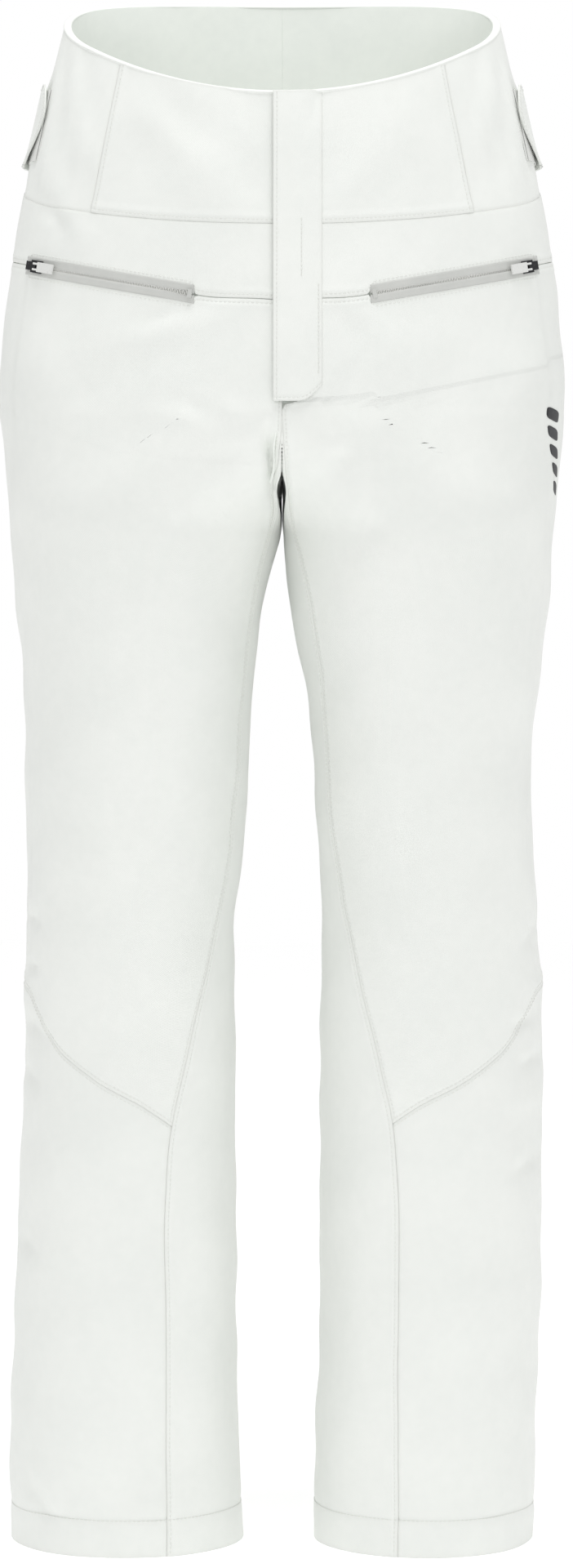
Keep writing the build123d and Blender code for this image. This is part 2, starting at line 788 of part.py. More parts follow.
gaiter_wall = without(gaiter_solid(0), gaiter_solid(gaiter_thick))
gaiter_seam_band = without(
    cut_to(
        inner_leg_solid,
        Plane.XY.offset(gaiter_top - gaiter_band),
        Plane(origin=(0, 0, gaiter_top), z_dir=(0, 0, -1)),
    ),
    gaiter_solid(gaiter_thick),
)
with BuildPart() as hook_solid:
    face_y = -gaiter_half_depth
    with BuildSketch(Plane.YZ.offset(-leg_centre - hook_width / 2)):
        with BuildLine():
            Polyline(
                (face_y, gaiter_bottom + hook_height / 2),
                (face_y, gaiter_bottom - hook_height / 2),
                (face_y - hook_depth, gaiter_bottom - hook_height / 2),
                (face_y - hook_depth, gaiter_bottom),
                (face_y - hook_depth + hook_thick, gaiter_bottom),
                (face_y - hook_depth + hook_thick, gaiter_bottom - hook_height / 2 + hook_thick),
                (face_y - hook_thick, gaiter_bottom - hook_height / 2 + hook_thick),
                (face_y - hook_thick, gaiter_bottom + hook_height / 2),
                close=True,
            )
        make_face()
    extrude(amount=hook_width)

shin_shell = cut_to(leg_shell, below_knee)
for side in ("right", "left"):
    with BuildPart() as knee_front:
        add(on_side(cut_to(leg_wall, front, below_knee_top, above_knee_bottom), side))
    knee_front.part.label = f"knee_front_{side}"
    export_step(knee_front.part, f"parts/knee_front_{side}.step")

    with BuildPart() as knee_back:
        add(on_side(cut_to(leg_wall, back, below_knee_top, above_knee_bottom), side))
    knee_back.part.label = f"knee_back_{side}"
    export_step(knee_back.part, f"parts/knee_back_{side}.step")

    with BuildPart() as shin_front:
        add(on_side(cut_to(shin_shell, front, shin_outer), side))
    shin_front.part.label = f"shin_front_{side}"
    export_step(shin_front.part, f"parts/shin_front_{side}.step")

    with BuildPart() as shin_side:
        add(on_side(cut_to(shin_shell, front, shin_inner), side))
    shin_side.part.label = f"shin_inner_{side}"
    export_step(shin_side.part, f"parts/shin_inner_{side}.step")

    with BuildPart() as shin_back:
        add(on_side(cut_to(shin_shell, back), side))
    shin_back.part.label = f"shin_back_{side}"
    export_step(shin_back.part, f"parts/shin_back_{side}.step")

    with BuildPart() as shin_lining:
        add(on_side(cut_to(leg_lining, below_knee, above_facing), side))
    shin_lining.part.label = f"shin_lining_{side}"
    export_step(shin_lining.part, f"parts/shin_lining_{side}.step")

    with BuildPart() as hem_facing:
        add(on_side(cut_to(leg_lining, below_facing), side))
    hem_facing.part.label = f"hem_facing_{side}"
    export_step(hem_facing.part, f"parts/hem_facing_{side}.step")

    with BuildPart() as gaiter:
        add(on_side(gaiter_wall, side))
        add(on_side(gaiter_seam_band, side))
    gaiter.part.label = f"gaiter_{side}"
    export_step(gaiter.part, f"parts/gaiter_{side}.step")

    with BuildPart() as gaiter_gripper:
        low, high = gaiter_bottom + 1, gaiter_bottom + gaiter_band - 2
        add(on_side(gaiter_part(gaiter_thick, low, high), side))
        add(on_side(gaiter_part(gaiter_thick + gripper_thick, low, high), side), mode=Mode.SUBTRACT)
    gaiter_gripper.part.label = f"gaiter_gripper_{side}"
    export_step(gaiter_gripper.part, f"parts/gaiter_gripper_{side}.step")

    with BuildPart() as boot_hook:
        add(on_side(hook_solid.part, side))
    boot_hook.part.label = f"boot_hook_{side}"
    export_step(boot_hook.part, f"parts/boot_hook_{side}.step")

# ---- Joint places, printed for the record ----
print("knee axis height", knee_height, "y", knee_axis_back)
print("zip centre", zip_centre, "normal", zip_normal, "radius", zip_radius, "arc", arc_length)
pin_spot = zip_plane.from_local_coords(
    Vector(zip_radius + pin_depth, 0, 0).rotate(Axis.Z, outer_angle + degrees(pin_along / zip_radius))
)
print("pull pin", pin_spot)
flap_axis_low = fly_plane.from_local_coords(Vector(flap_root, flap_bottom, flap_lift + flap_thick))
flap_axis_high = fly_plane.from_local_coords(Vector(flap_root, flap_top, flap_lift + flap_thick))
root_face = tab_solid.faces().sort_by(Axis.Y)[-1]
root_top = root_face.vertices().group_by(Axis.Z)[-1].sort_by(Axis.X)[-1]
root_bottom = root_face.vertices().group_by(Axis.Z)[0].sort_by(Axis.X)[-1]
print("tab root", Vector(root_top), Vector(root_bottom))
print("flap axis", flap_axis_low, flap_axis_high, "fly up", fly_plane.y_dir)
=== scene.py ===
import json
import math

import bpy
import numpy as np
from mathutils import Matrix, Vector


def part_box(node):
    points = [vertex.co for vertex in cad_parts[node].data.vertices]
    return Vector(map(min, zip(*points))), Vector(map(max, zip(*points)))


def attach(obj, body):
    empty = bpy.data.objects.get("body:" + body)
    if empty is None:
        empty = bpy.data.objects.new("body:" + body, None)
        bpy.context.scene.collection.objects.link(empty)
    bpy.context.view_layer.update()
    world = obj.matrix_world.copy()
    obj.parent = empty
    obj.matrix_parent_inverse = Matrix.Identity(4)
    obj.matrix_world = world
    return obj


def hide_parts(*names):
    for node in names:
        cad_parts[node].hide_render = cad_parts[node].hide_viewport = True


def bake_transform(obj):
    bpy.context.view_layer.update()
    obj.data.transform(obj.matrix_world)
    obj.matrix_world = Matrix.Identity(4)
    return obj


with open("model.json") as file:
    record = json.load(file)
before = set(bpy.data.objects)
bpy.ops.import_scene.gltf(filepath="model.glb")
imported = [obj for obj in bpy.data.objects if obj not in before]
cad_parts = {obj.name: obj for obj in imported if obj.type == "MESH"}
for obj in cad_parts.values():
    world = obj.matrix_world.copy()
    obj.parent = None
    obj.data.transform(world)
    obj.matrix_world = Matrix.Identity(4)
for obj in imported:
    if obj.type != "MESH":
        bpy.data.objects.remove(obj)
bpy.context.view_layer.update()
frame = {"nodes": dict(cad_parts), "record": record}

SIDES = {"right": -1.0, "left": 1.0}

# ---- Sizes read from the frame, in metres ----
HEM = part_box("shin_back_right")[0][2]
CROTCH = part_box("inner_leg_panel_right")[1][2] - 0.006
HIP = -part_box("front_panel_right")[0][0]
SEAT = -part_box("front_panel_right")[0][1]
RIM_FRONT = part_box("fly_flap")[1][2]
RIM_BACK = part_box("waistband_back")[1][2] + 0.001
RIM_SIDE = 0.020
FORK = CROTCH - 0.080
JOINTS = {joint["name"]: joint for joint in frame["record"]["behaviour"]["joints"]}
KNEE = JOINTS["right_knee"]["pos_m"][2]

# ---- Outline of the waist and hips: height and half width ----
BODY_WIDTHS = [
    (0.060, 0.1475), (0.020, 0.1515), (-0.011, 0.159), (-0.039, 0.167), (-0.083, 0.177),
    (-0.126, 0.185), (-0.170, 0.1918), (-0.213, 0.196), (-0.235, HIP), (CROTCH, 0.1955),
]
# Outer and inner edges of each leg: height and distance from the middle
OUTER_EDGES = {
    "right": [
        (CROTCH, 0.1955), (-0.278, 0.194), (-0.321, 0.191), (-0.365, 0.187), (-0.433, 0.1815),
        (-0.500, 0.179), (-0.605, 0.178), (-0.707, 0.1795), (-0.776, 0.183), (-0.845, 0.1856),
        (-0.913, 0.188), (-0.982, 0.1896), (HEM, 0.1885),
    ],
    "left": [
        (CROTCH, 0.1955), (-0.278, 0.194), (-0.321, 0.191), (-0.365, 0.1885), (-0.433, 0.1804),
        (-0.485, 0.1735), (-0.520, 0.1725), (-0.570, 0.1755), (-0.640, 0.1804), (-0.690, 0.1822),
        (-0.810, 0.181), (-0.913, 0.1785), (-0.982, 0.176), (HEM, 0.1747),
    ],
}
INNER_EDGES = {
    "right": [
        (FORK, 0.0008), (-0.365, 0.0080), (-0.399, 0.0158), (-0.433, 0.0205), (-0.480, 0.0222),
        (-0.536, 0.0257), (-0.605, 0.0330), (-0.680, 0.0328), (-0.880, 0.0325), (-0.980, 0.0298),
        (HEM, 0.0272),
    ],
    "left": [
        (FORK, 0.0006), (-0.375, 0.0032), (-0.399, 0.0066), (-0.433, 0.0137), (-0.468, 0.0200),
        (-0.510, 0.0222), (-0.570, 0.0257), (-0.610, 0.0283), (-0.700, 0.0268), (-0.880, 0.0257),
        (-0.980, 0.0235), (HEM, 0.0222),
    ],
}
TOP_DEPTH = 0.094
TOP_HEIGHT = 0.050
LEG_DEPTHS = [
    (CROTCH, SEAT), (-0.300, 0.1135), (FORK, 0.1065), (-0.440, 0.0985), (-0.534, 0.0915),
    (KNEE, 0.0855), (-0.690, 0.0820), (-0.850, 0.0790), (HEM, 0.0770),
]
SIDE_RADII = [(TOP_HEIGHT, 0.060), (-0.190, 0.072), (CROTCH, 0.100)]
# Height and distance from the middle of the seam between the front and the inner leg
INNER_SEAM = [
    (CROTCH, 0.0), (-0.327, 0.004), (-0.370, 0.018), (-0.422, 0.0255), (-0.470, 0.0295),
    (-0.520, 0.0325), (-0.560, 0.0365), (-0.606, 0.0440), (-0.680, 0.0610), (-0.745, 0.0765),
    (-0.800, 0.0800), (-0.900, 0.0790), (HEM, 0.0790),
]
# Angle round the leg and height of the seam under the knee panel
KNEE_SEAM = [
    (66, -0.745), (83, -0.729), (102, -0.7155), (126, -0.694), (144, -0.671), (155, -0.656),
    (180, -0.648),
]
CROTCH_ROUNDING = 0.003

# ---- Cloth and seams ----
SHELL_THICK = 0.0014
LINING_GAP = 0.0050
SEAM_DIP = 0.00055
SEAM_REACH = 0.0011
FOLDED_EDGE = 0.00035
FOLDED_WIDTH = 0.0065
STITCH_IN = 0.0026
HEM_TURN = 0.025
# Stands in for daylight that comes through the white cloth to the inside
LINING_GLOW = 0.14
LINING_THICK = 0.0005
LINING_RAISE = 0.020
CROTCH_SEAM = 0.0006
STITCH_PITCH = 0.0031
STITCH_LENGTH = 0.0023
STITCH_RADIUS = 0.00030
NEAR_EDGE = np.array([0, 0.6, 1.2, 1.9, 2.6, 3.3, 4.2, 5.4, 7.0, 9.5]) / 1000
CELL = 0.0032


def smooth_line(points, samples=900):
    """A curve through points, rounded with a short running mean so that it has no corners."""
    heights, values = np.array(points, float).T
    order = np.argsort(heights)
    heights, values = heights[order], values[order]
    grid = np.linspace(heights[0], heights[-1], samples)
    line = np.interp(grid, heights, values)
    width = max(3, int(samples * 0.018))
    for _ in range(3):
        padded = np.concatenate([2 * line[0] - line[width:0:-1], line, 2 * line[-1] - line[-2:-width - 2:-1]])
        line = np.convolve(padded, np.ones(2 * width + 1) / (2 * width + 1), mode="valid")
    return lambda at: np.interp(at, grid, line)


BODY_WIDTH = smooth_line(BODY_WIDTHS)
OUTER = {side: smooth_line(points) for side, points in OUTER_EDGES.items()}
INNER = {side: smooth_line(points) for side, points in INNER_EDGES.items()}
LEG_DEPTH = smooth_line(LEG_DEPTHS)
SIDE_RADIUS = smooth_line(SIDE_RADII)
SEAM_X = smooth_line(INNER_SEAM)
KNEE_SEAM_Z = smooth_line(KNEE_SEAM)


def ease(low, high, at):
    """Rises smoothly from 0 at low to 1 at high."""
    t = np.clip((at - low) / (high - low), 0, 1)
    return t * t * (3 - 2 * t)


def oval_reach(angle, wide, deep, corner):
    """Distance from the middle to an oval of four tangent arcs, in a direction."""
    cos, sin = np.abs(np.cos(angle)), np.abs(np.sin(angle))
    big = ((wide - corner) ** 2 + deep**2 - corner**2) / (2 * (deep - corner))
    along, up = wide - corner, big - deep
    touch = np.arctan2(corner * up / (big - corner), along + corner * along / (big - corner))
    side = along * cos + np.sqrt(np.maximum(corner**2 - (along * sin) ** 2, 0))
    face = -up * sin + np.sqrt(np.maximum(big**2 - (up * cos) ** 2, 0))
    return np.where(np.arctan2(sin, cos) < touch, side, face)


def ellipse_reach(angle, wide, deep):
    """Distance from the middle to an ellipse, in a direction."""
    return wide * deep / np.hypot(deep * np.cos(angle), wide * np.sin(angle))


def body_point(side, angle, height):
    """A point of the plain outer surface. The angle is 0 at the inner leg, a quarter turn at the front
    and a half turn at the outer side. Above the crotch the sections are ovals about the middle; down to
    the fork they move to each leg's own middle and become ellipses, held off the middle plane."""
    angle, height = np.broadcast_arrays(np.asarray(angle, float), np.asarray(height, float))
    low = np.minimum(height, CROTCH)
    outer = np.where(height > CROTCH, BODY_WIDTH(height), OUTER[side](low))
    shift = ease(CROTCH, FORK, low) ** 0.5
    inner = INNER[side](np.minimum(height, FORK))
    centre = shift * (OUTER[side](np.minimum(height, FORK)) + inner) / 2
    wide = outer - centre
    deep = np.where(
        height > CROTCH,
        TOP_DEPTH + (SEAT - TOP_DEPTH) * (TOP_HEIGHT - height) / (TOP_HEIGHT - CROTCH),
        LEG_DEPTH(low),
    )
    legness = ease(-0.215, FORK, height)
    corner = np.minimum(SIDE_RADIUS(np.maximum(height, CROTCH)), 0.93 * np.minimum(wide, deep))
    reach = (1 - legness) * oval_reach(angle, wide, np.maximum(deep, corner * 1.02), corner)
    reach = reach + legness * ellipse_reach(angle, wide, deep)
    across = centre - reach * np.cos(angle)
    rounding = CROTCH_ROUNDING * ease(CROTCH, CROTCH - 0.045, height)
    rounding = rounding * (1 - 0.9 * ease(FORK + 0.03, FORK - 0.02, height))
    held = 0.5 * (across + np.sqrt(across**2 + rounding**2))
    across = np.where(height < CROTCH, held, across)
    return np.stack([SIDES[side] * across, -reach * np.sin(angle), height + 0 * reach], axis=-1)


def angle_at(side, across, height):
    """The angle at the front where the surface is that far from the middle."""
    low, high = np.full_like(height, 0.02), np.full_like(height, math.pi)
    for _ in range(28):
        middle = (low + high) / 2
        beyond = np.abs(body_point(side, middle, height)[..., 0]) * np.sign(
            body_point(side, middle, height)[..., 0] * SIDES[side]
        ) > across
        high, low = np.where(beyond, middle, high), np.where(beyond, low, middle)
    return (low + high) / 2


HEIGHTS = np.linspace(0.07, HEM - 0.01, 700)


def seam_angle(side, distance):
    """A function of height that gives the angle of a seam at a set distance from the middle."""
    angles = angle_at(side, distance(HEIGHTS), HEIGHTS)
    return lambda height: np.interp(-np.asarray(height), -HEIGHTS, angles)


# ---- Edges of the panels ----
FLY_EDGE = 0.019
FLY_END = -0.2500
GUSSET = 0.107
GUSSET_LEAN = 0.2
BAND_SIDE = -0.099
BAND_SLOPE = 0.3
ZIP_AXIS = np.array(JOINTS["right_pocket_zip"]["axis"])
ZIP_CENTRE = np.array(JOINTS["right_pocket_zip"]["pos_m"])
ZIP_SLOT = 0.0055


def rim_height(side, angle):
    """The waist rim: an arc seen from the side, low in front and high behind."""
    height = np.full_like(angle, 0.0)
    half = TOP_DEPTH + 0.0105
    (y0, z0), (y1, z1), (y2, z2) = (-half, RIM_FRONT), (0, RIM_SIDE), (half, RIM_BACK)
    bend = ((z2 - z1) / (y2 - y1) - (z1 - z0) / (y1 - y0)) / (y2 - y0)
    for _ in range(4):
        y = body_point(side, angle, height)[..., 1]
        height = z0 + (z1 - z0) / (y1 - y0) * (y - y0) + bend * (y - y0) * (y - y1)
    return height


def band_height(side, angle):
    """The waistband's lower seam, which slopes down to the front."""
    height = np.full_like(angle, BAND_SIDE)
    for _ in range(4):
        height = BAND_SIDE + BAND_SLOPE * body_point(side, angle, height)[..., 1]
    return height


def zip_height(side, angle, off):
    """The leaning plane of the pocket zip, moved up or down by off. It levels out towards the fly."""
    height = np.full_like(angle, -0.17)
    for _ in range(5):
        spot = body_point(side, angle, height)
        x = -np.abs(spot[..., 0])
        lean = ZIP_AXIS[0] * (x - ZIP_CENTRE[0]) + ZIP_AXIS[1] * (spot[..., 1] - ZIP_CENTRE[1])
        height = ZIP_CENTRE[2] - lean / ZIP_AXIS[2]
        height = height + 0.0055 * ease(-0.055, 0.0, x)
    return height + off / ZIP_AXIS[2]


TAPE_OUTER = -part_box("pocket_tapes_right")[0][0]
TAPE_INNER = -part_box("pocket_tapes_right")[1][0]


def slot_ends(x, soft):
    """1 between the two ends of a pocket zip and 0 beyond them."""
    return ease(TAPE_INNER - soft, TAPE_INNER + soft, x) * ease(TAPE_OUTER + soft, TAPE_OUTER - soft, x)


def slot_opening(side, angle):
    """Half the height of the gap that the pocket zip shows in, which closes at both ends of the zip."""
    x = np.abs(body_point(side, angle, np.full_like(angle, -0.165))[..., 0])
    return ZIP_SLOT * slot_ends(x, 0.0018) + 0.0002


FRONT_SEAM = {side: seam_angle(side, SEAM_X) for side in SIDES}
FLY_SEAM = {
    "right": FRONT_SEAM["right"],
    "left": seam_angle(
        "left", lambda z: np.where(z > CROTCH, FLY_EDGE * ease(FLY_END - 0.006, FLY_END + 0.002, z), SEAM_X(z))
    ),
}
BAND_START = {
    side: seam_angle(side, lambda z, edge=edge: np.full_like(z, edge))
    for side, edge in (("right", -FLY_EDGE), ("left", FLY_EDGE))
}
GUSSET_SEAM = {side: seam_angle(side, lambda z: GUSSET - GUSSET_LEAN * z) for side in SIDES}
HALF_TURN = lambda height: math.pi + 0 * np.asarray(height)


# ---- Folds: start, end (distance to the wearer's left and height), half width and height of each ridge ----
FRONT_FOLDS = [
    ((-0.108, -0.040), (-0.012, -0.135), 0.016, 0.0022),
    ((-0.090, -0.015), (-0.010, -0.085), 0.013, 0.0012),
    ((0.100, -0.030), (0.036, -0.120), 0.016, 0.0014),
    ((0.029, -0.032), (0.016, -0.066), 0.005, -0.0010),
    ((-0.165, -0.108), (-0.148, -0.136), 0.007, -0.0022),
    ((-0.158, -0.105), (-0.130, -0.150), 0.010, 0.0014),
    ((-0.098, -0.198), (-0.036, -0.178), 0.007, -0.0016),
    ((-0.110, -0.215), (-0.030, -0.190), 0.011, 0.0018),
    ((0.032, -0.186), (0.058, -0.214), 0.008, -0.0013),
    ((-0.0088, -0.268), (-0.0040, -0.318), 0.0042, -0.0100),
    ((0.056, -0.213), (0.032, -0.265), 0.009, -0.0016),
    ((0.045, -0.180), (0.085, -0.235), 0.014, 0.0020),
    ((-0.068, -0.252), (-0.026, -0.272), 0.007, -0.0022),
    ((-0.095, -0.262), (-0.020, -0.262), 0.010, 0.0020),
    ((-0.060, -0.292), (-0.012, -0.283), 0.008, -0.0020),
    ((-0.075, -0.325), (-0.014, -0.305), 0.013, 0.0018),
    ((0.034, -0.240), (0.020, -0.274), 0.007, -0.0020),
    ((0.056, -0.276), (0.026, -0.305), 0.008, -0.0024),
    ((0.080, -0.262), (0.028, -0.286), 0.011, 0.0022),
    ((0.078, -0.330), (0.022, -0.318), 0.012, 0.0018),
    ((0.177, -0.606), (0.170, -0.628), 0.005, -0.0026),
    ((0.158, -0.680), (0.177, -0.671), 0.005, -0.0022),
    ((0.160, -0.708), (0.183, -0.698), 0.006, -0.0026),
    ((0.156, -0.782), (0.180, -0.768), 0.006, -0.0022),
    ((0.166, -0.655), (0.184, -0.645), 0.009, 0.0020),
    ((0.150, -0.735), (0.182, -0.722), 0.010, 0.0018),
    ((-0.176, -0.600), (-0.168, -0.612), 0.005, -0.0022),
    ((-0.178, -0.636), (-0.166, -0.640), 0.005, -0.0020),
    ((-0.178, -0.672), (-0.162, -0.690), 0.006, -0.0024),
    ((-0.184, -0.706), (-0.166, -0.722), 0.006, -0.0022),
    ((-0.182, -0.822), (-0.168, -0.840), 0.006, -0.0022),
    ((-0.172, -0.850), (-0.120, -0.985), 0.014, 0.0020),
    ((0.150, -0.500), (0.100, -0.600), 0.018, 0.0022),
    ((-0.160, -0.470), (-0.100, -0.590), 0.018, 0.0020),
    ((-0.060, -0.430), (-0.080, -0.580), 0.014, 0.0014),
    ((0.060, -0.440), (0.075, -0.570), 0.014, 0.0014),
    ((-0.045, -0.620), (-0.090, -0.660), 0.009, 0.0014),
    ((0.050, -0.600), (0.092, -0.640), 0.009, 0.0014),
    ((0.120, -0.830), (0.150, -1.010), 0.016, 0.0016),
    ((-0.055, -0.780), (-0.050, -0.960), 0.012, 0.0014),
    ((0.050, -0.800), (0.048, -0.980), 0.012, 0.0013),
    ((-0.176, -0.985), (-0.160, -1.020), 0.006, -0.0024),
    ((-0.166, -0.980), (-0.150, -1.010), 0.008, 0.0016),
]
BACK_FOLDS = [
    ((-0.100, -0.120), (-0.020, -0.200), 0.018, 0.0024),
    ((0.100, -0.120), (0.022, -0.205), 0.018, 0.0024),
    ((-0.120, -0.225), (-0.025, -0.262), 0.014, 0.0026),
    ((0.125, -0.220), (0.026, -0.258), 0.014, 0.0026),
    ((-0.100, -0.290), (-0.025, -0.285), 0.012, 0.0020),
    ((0.104, -0.300), (0.026, -0.290), 0.012, 0.0020),
    ((-0.150, -0.560), (-0.060, -0.585), 0.010, 0.0034),
    ((-0.155, -0.600), (-0.055, -0.615), 0.010, 0.0040),
    ((-0.150, -0.645), (-0.060, -0.635), 0.010, 0.0034),
    ((0.150, -0.565), (0.058, -0.580), 0.010, 0.0034),
    ((0.155, -0.605), (0.055, -0.612), 0.010, 0.0040),
    ((0.150, -0.640), (0.058, -0.645), 0.010, 0.0034),
    ((-0.130, -0.780), (-0.085, -1.000), 0.016, 0.0016),
    ((0.130, -0.780), (0.088, -1.000), 0.016, 0.0016),
]


def folds_at(spot, folds):
    """Sum of soft ridges, each a bell across its line that fades to nothing at both ends."""
    total = np.zeros(spot.shape[:-1])
    x, z = spot[..., 0], spot[..., 2]
    for (x0, z0), (x1, z1), width, height in folds:
        dx, dz = x1 - x0, z1 - z0
        length2 = dx * dx + dz * dz
        along = np.clip(((x - x0) * dx + (z - z0) * dz) / length2, 0, 1)
        apart = np.hypot(x - x0 - along * dx, z - z0 - along * dz)
        bend = 1 + 0.25 * np.sin(9 * along + 40 * x0)
        total += height * np.exp(-((apart / (width * bend)) ** 2)) * np.sin(np.pi * (0.08 + 0.84 * along))
    return total


def drape(spot):
    """How far the cloth stands off the plain surface: its folds, and slow waves that never repeat."""
    x, y, z = spot[..., 0], spot[..., 1], spot[..., 2]
    frontness = ease(0.012, -0.020, y)
    rise = frontness * folds_at(spot, FRONT_FOLDS) + (1 - frontness) * folds_at(spot, BACK_FOLDS)
    wave = np.sin(31 * z + 17 * x + 3 * y) * np.sin(47 * x - 13 * z + 1.3)
    wave += 0.7 * np.sin(71 * z + 39 * y + 0.6) * np.sin(53 * x + 29 * y - 21 * z)
    wave += 0.45 * np.sin(118 * z - 64 * x + 2.1) * np.sin(97 * y + 41 * x + 0.4)
    calm = 0.35 + 0.65 * ease(-0.10, -0.28, z)
    return rise + 0.00085 * wave * calm


def gather(side, angle, height):
    """Short upright puckers that the elastic in the side gusset pulls in."""
    x = np.abs(body_point(side, angle, height)[..., 0])
    inside = ease(GUSSET + 0.012, GUSSET + 0.030, x) * ease(0.006, -0.030, height)
    inside = inside * ease(-0.115, -0.085, height)
    pull = np.sin(19 * height + 11 * angle)
    fine = 0.00042 * np.sin(angle * 83 + 55 * height + 2.2 * pull) * (0.6 + 0.4 * np.sin(47 * height + 9 * angle))
    broad = 0.00075 * np.sin(angle * 31 - 70 * height + 1.4 * pull + 1)
    return inside * (fine + broad)


def outward(grid):
    """Unit normals of a grid of points, from the differences between its rows and columns."""
    normal = np.cross(np.gradient(grid, axis=1), np.gradient(grid, axis=0))
    return normal / np.maximum(np.linalg.norm(normal, axis=-1, keepdims=True), 1e-12)


def run_lengths(grid):
    """Distance run along each row of a grid of points, and down each column."""
    over = np.cumsum(np.linalg.norm(np.diff(grid, axis=1), axis=-1), 1)
    deep = np.cumsum(np.linalg.norm(np.diff(grid, axis=0), axis=-1), 0)
    return np.pad(over, ((0, 0), (1, 0))), np.pad(deep, ((1, 0), (0, 0)))


def graded(length, count):
    """Shares from 0 to 1 that are close together near both edges and even between them, one row per length."""
    near = NEAR_EDGE[None, :] / length[:, None]
    near = near * np.minimum(1, 0.45 / near[:, -1:])
    middle = np.linspace(0, 1, count + 2)[1:-1][None, :]
    inner = near[:, -1:] + (1 - 2 * near[:, -1:]) * middle
    return np.concatenate([near, inner, 1 - near[:, ::-1]], axis=1)


def relief(distance, kind, welded=0.0):
    """Height of the cloth near an edge: it dips into the seam and is thicker where it is folded under.
    Where the edge is welded under a zip tape it stays flat."""
    if kind == "open":
        return 0 * distance
    if kind == "hem":
        band = 1 - ease(HEM_TURN - 0.0015, HEM_TURN + 0.0015, distance)
        return 0.0006 * band - 0.0007 * np.exp(-(((distance - HEM_TURN) / 0.0032) ** 2))
    fold = FOLDED_EDGE * (1 - ease(FOLDED_WIDTH - 0.0012, FOLDED_WIDTH + 0.0006, distance))
    dip = SEAM_DIP * np.exp(-((distance / SEAM_REACH) ** 2))
    channel = 0.00035 * np.exp(-(((distance - STITCH_IN) / 0.0008) ** 2))
    if kind == "under":
        return -0.6 * dip
    if kind == "loose":
        return -0.5 * FOLDED_EDGE * np.exp(-((distance / 0.0007) ** 2)) - channel
    return (fold - dip - channel) * (1 - welded if kind == "zip" else 1)


STITCHES = {side: [] for side in SIDES}


def panel(side, left, right, top, bottom, edges, lift=0.0, gathered=False, coarse=1.0, stitch=(), loose=1.0,
          store=None):
    """A grid over the part of the surface between two upright edges (functions of height) and two level
    ones (functions of angle), stood off by the folds, the seam relief and a lift. edges names what
    happens at the left, right, top and bottom."""
    angle = np.linspace(0, 1, 9)[None, :] * np.ones((9, 1))
    share = np.linspace(0, 1, 9)[:, None] * np.ones((1, 9))
    turn = (left(-0.3) + right(-0.3)) / 2 + 0 * angle

    def settle(across, down, turn):
        for _ in range(7):
            height = top(side, turn) * (1 - down) + bottom(side, turn) * down
            turn = left(height) * (1 - across) + right(height) * across
        return turn, height

    turn, height = settle(angle, share, turn)
    rough = body_point(side, turn, height)
    wide = np.linalg.norm(np.diff(rough, axis=1), axis=-1).sum(1)
    tall = np.linalg.norm(np.diff(rough, axis=0), axis=-1).sum(0)
    columns = max(3, int((wide.mean() - 0.019) / (CELL * coarse)))
    rows = max(3, int((tall.mean() - 0.019) / (CELL * coarse)))
    count_u, count_v = columns + 2 * len(NEAR_EDGE), rows + 2 * len(NEAR_EDGE)
    wide_at = np.interp(np.linspace(0, 1, count_v), np.linspace(0, 1, 9), wide)
    tall_at = np.interp(np.linspace(0, 1, count_u), np.linspace(0, 1, 9), tall)
    across, down = graded(wide_at, columns), graded(tall_at, rows).T
    turn = left(-0.3) * (1 - across) + right(-0.3) * across
    turn, height = settle(across, down, turn)
    base = body_point(side, turn, height)
    normal = outward(base) * (1 if side == "right" else -1)
    over, deep = run_lengths(base)
    distances = (over, over[:, -1:] - over, deep, deep[-1:] - deep)
    rise = drape(base) * loose + (lift(turn, height) if callable(lift) else lift)
    if gathered:
        rise = rise + gather(side, turn, height)
    welded = slot_ends(np.abs(base[..., 0]), 0.004)
    for distance, kind in zip(distances, edges):
        rise = rise + relief(distance, kind, welded)
    grid = base + normal * rise[..., None]
    for edge in stitch:
        index = 4
        path, way = {
            "left": (grid[:, index], normal[:, index]), "right": (grid[:, -1 - index], normal[:, -1 - index]),
            "top": (grid[index], normal[index]), "bottom": (grid[-1 - index], normal[-1 - index]),
        }[edge]
        (STITCHES[side] if store is None else store).append((path, way))
    return grid, over, deep


# ---- Meshes ----
def add_mesh(name, points, faces, uv=None, smooth=True):
    """A mesh object at the origin from arrays of points and faces, with a map in metres if one is given."""
    mesh = bpy.data.meshes.new(name)
    mesh.from_pydata(points.reshape(-1, 3).tolist(), [], faces.tolist())
    mesh.polygons.foreach_set("use_smooth", np.full(len(mesh.polygons), smooth))
    if uv is not None:
        layer = mesh.uv_layers.new(name="cloth")
        index = np.empty(len(mesh.loops), int)
        mesh.loops.foreach_get("vertex_index", index)
        layer.data.foreach_set("uv", uv.reshape(-1, 2)[index].ravel())
    mesh.update()
    piece = bpy.data.objects.new(name, mesh)
    bpy.context.scene.collection.objects.link(piece)
    return piece


def grid_faces(rows, columns, closed=False, flip=False):
    """Quads between the rows and columns of a grid, joined round if it is closed."""
    index = np.arange(rows * columns).reshape(rows, columns)
    right = np.roll(index, -1, axis=1) if closed else index[:, 1:]
    left = index if closed else index[:, :-1]
    faces = np.stack([left[:-1], left[1:], right[1:], right[:-1]], axis=-1).reshape(-1, 4)
    return faces[:, ::-1] if flip else faces


def join_grids(grids, flips, closed=False):
    """Points, faces and map of several grids together."""
    points, faces, maps, start = [], [], [], 0
    for (grid, over, deep), flip in zip(grids, flips):
        faces.append(grid_faces(*grid.shape[:2], closed, flip) + start)
        points.append(grid.reshape(-1, 3))
        maps.append(np.stack([over, deep], axis=-1).reshape(-1, 2))
        start += len(points[-1])
    return np.concatenate(points), np.concatenate(faces), np.concatenate(maps)


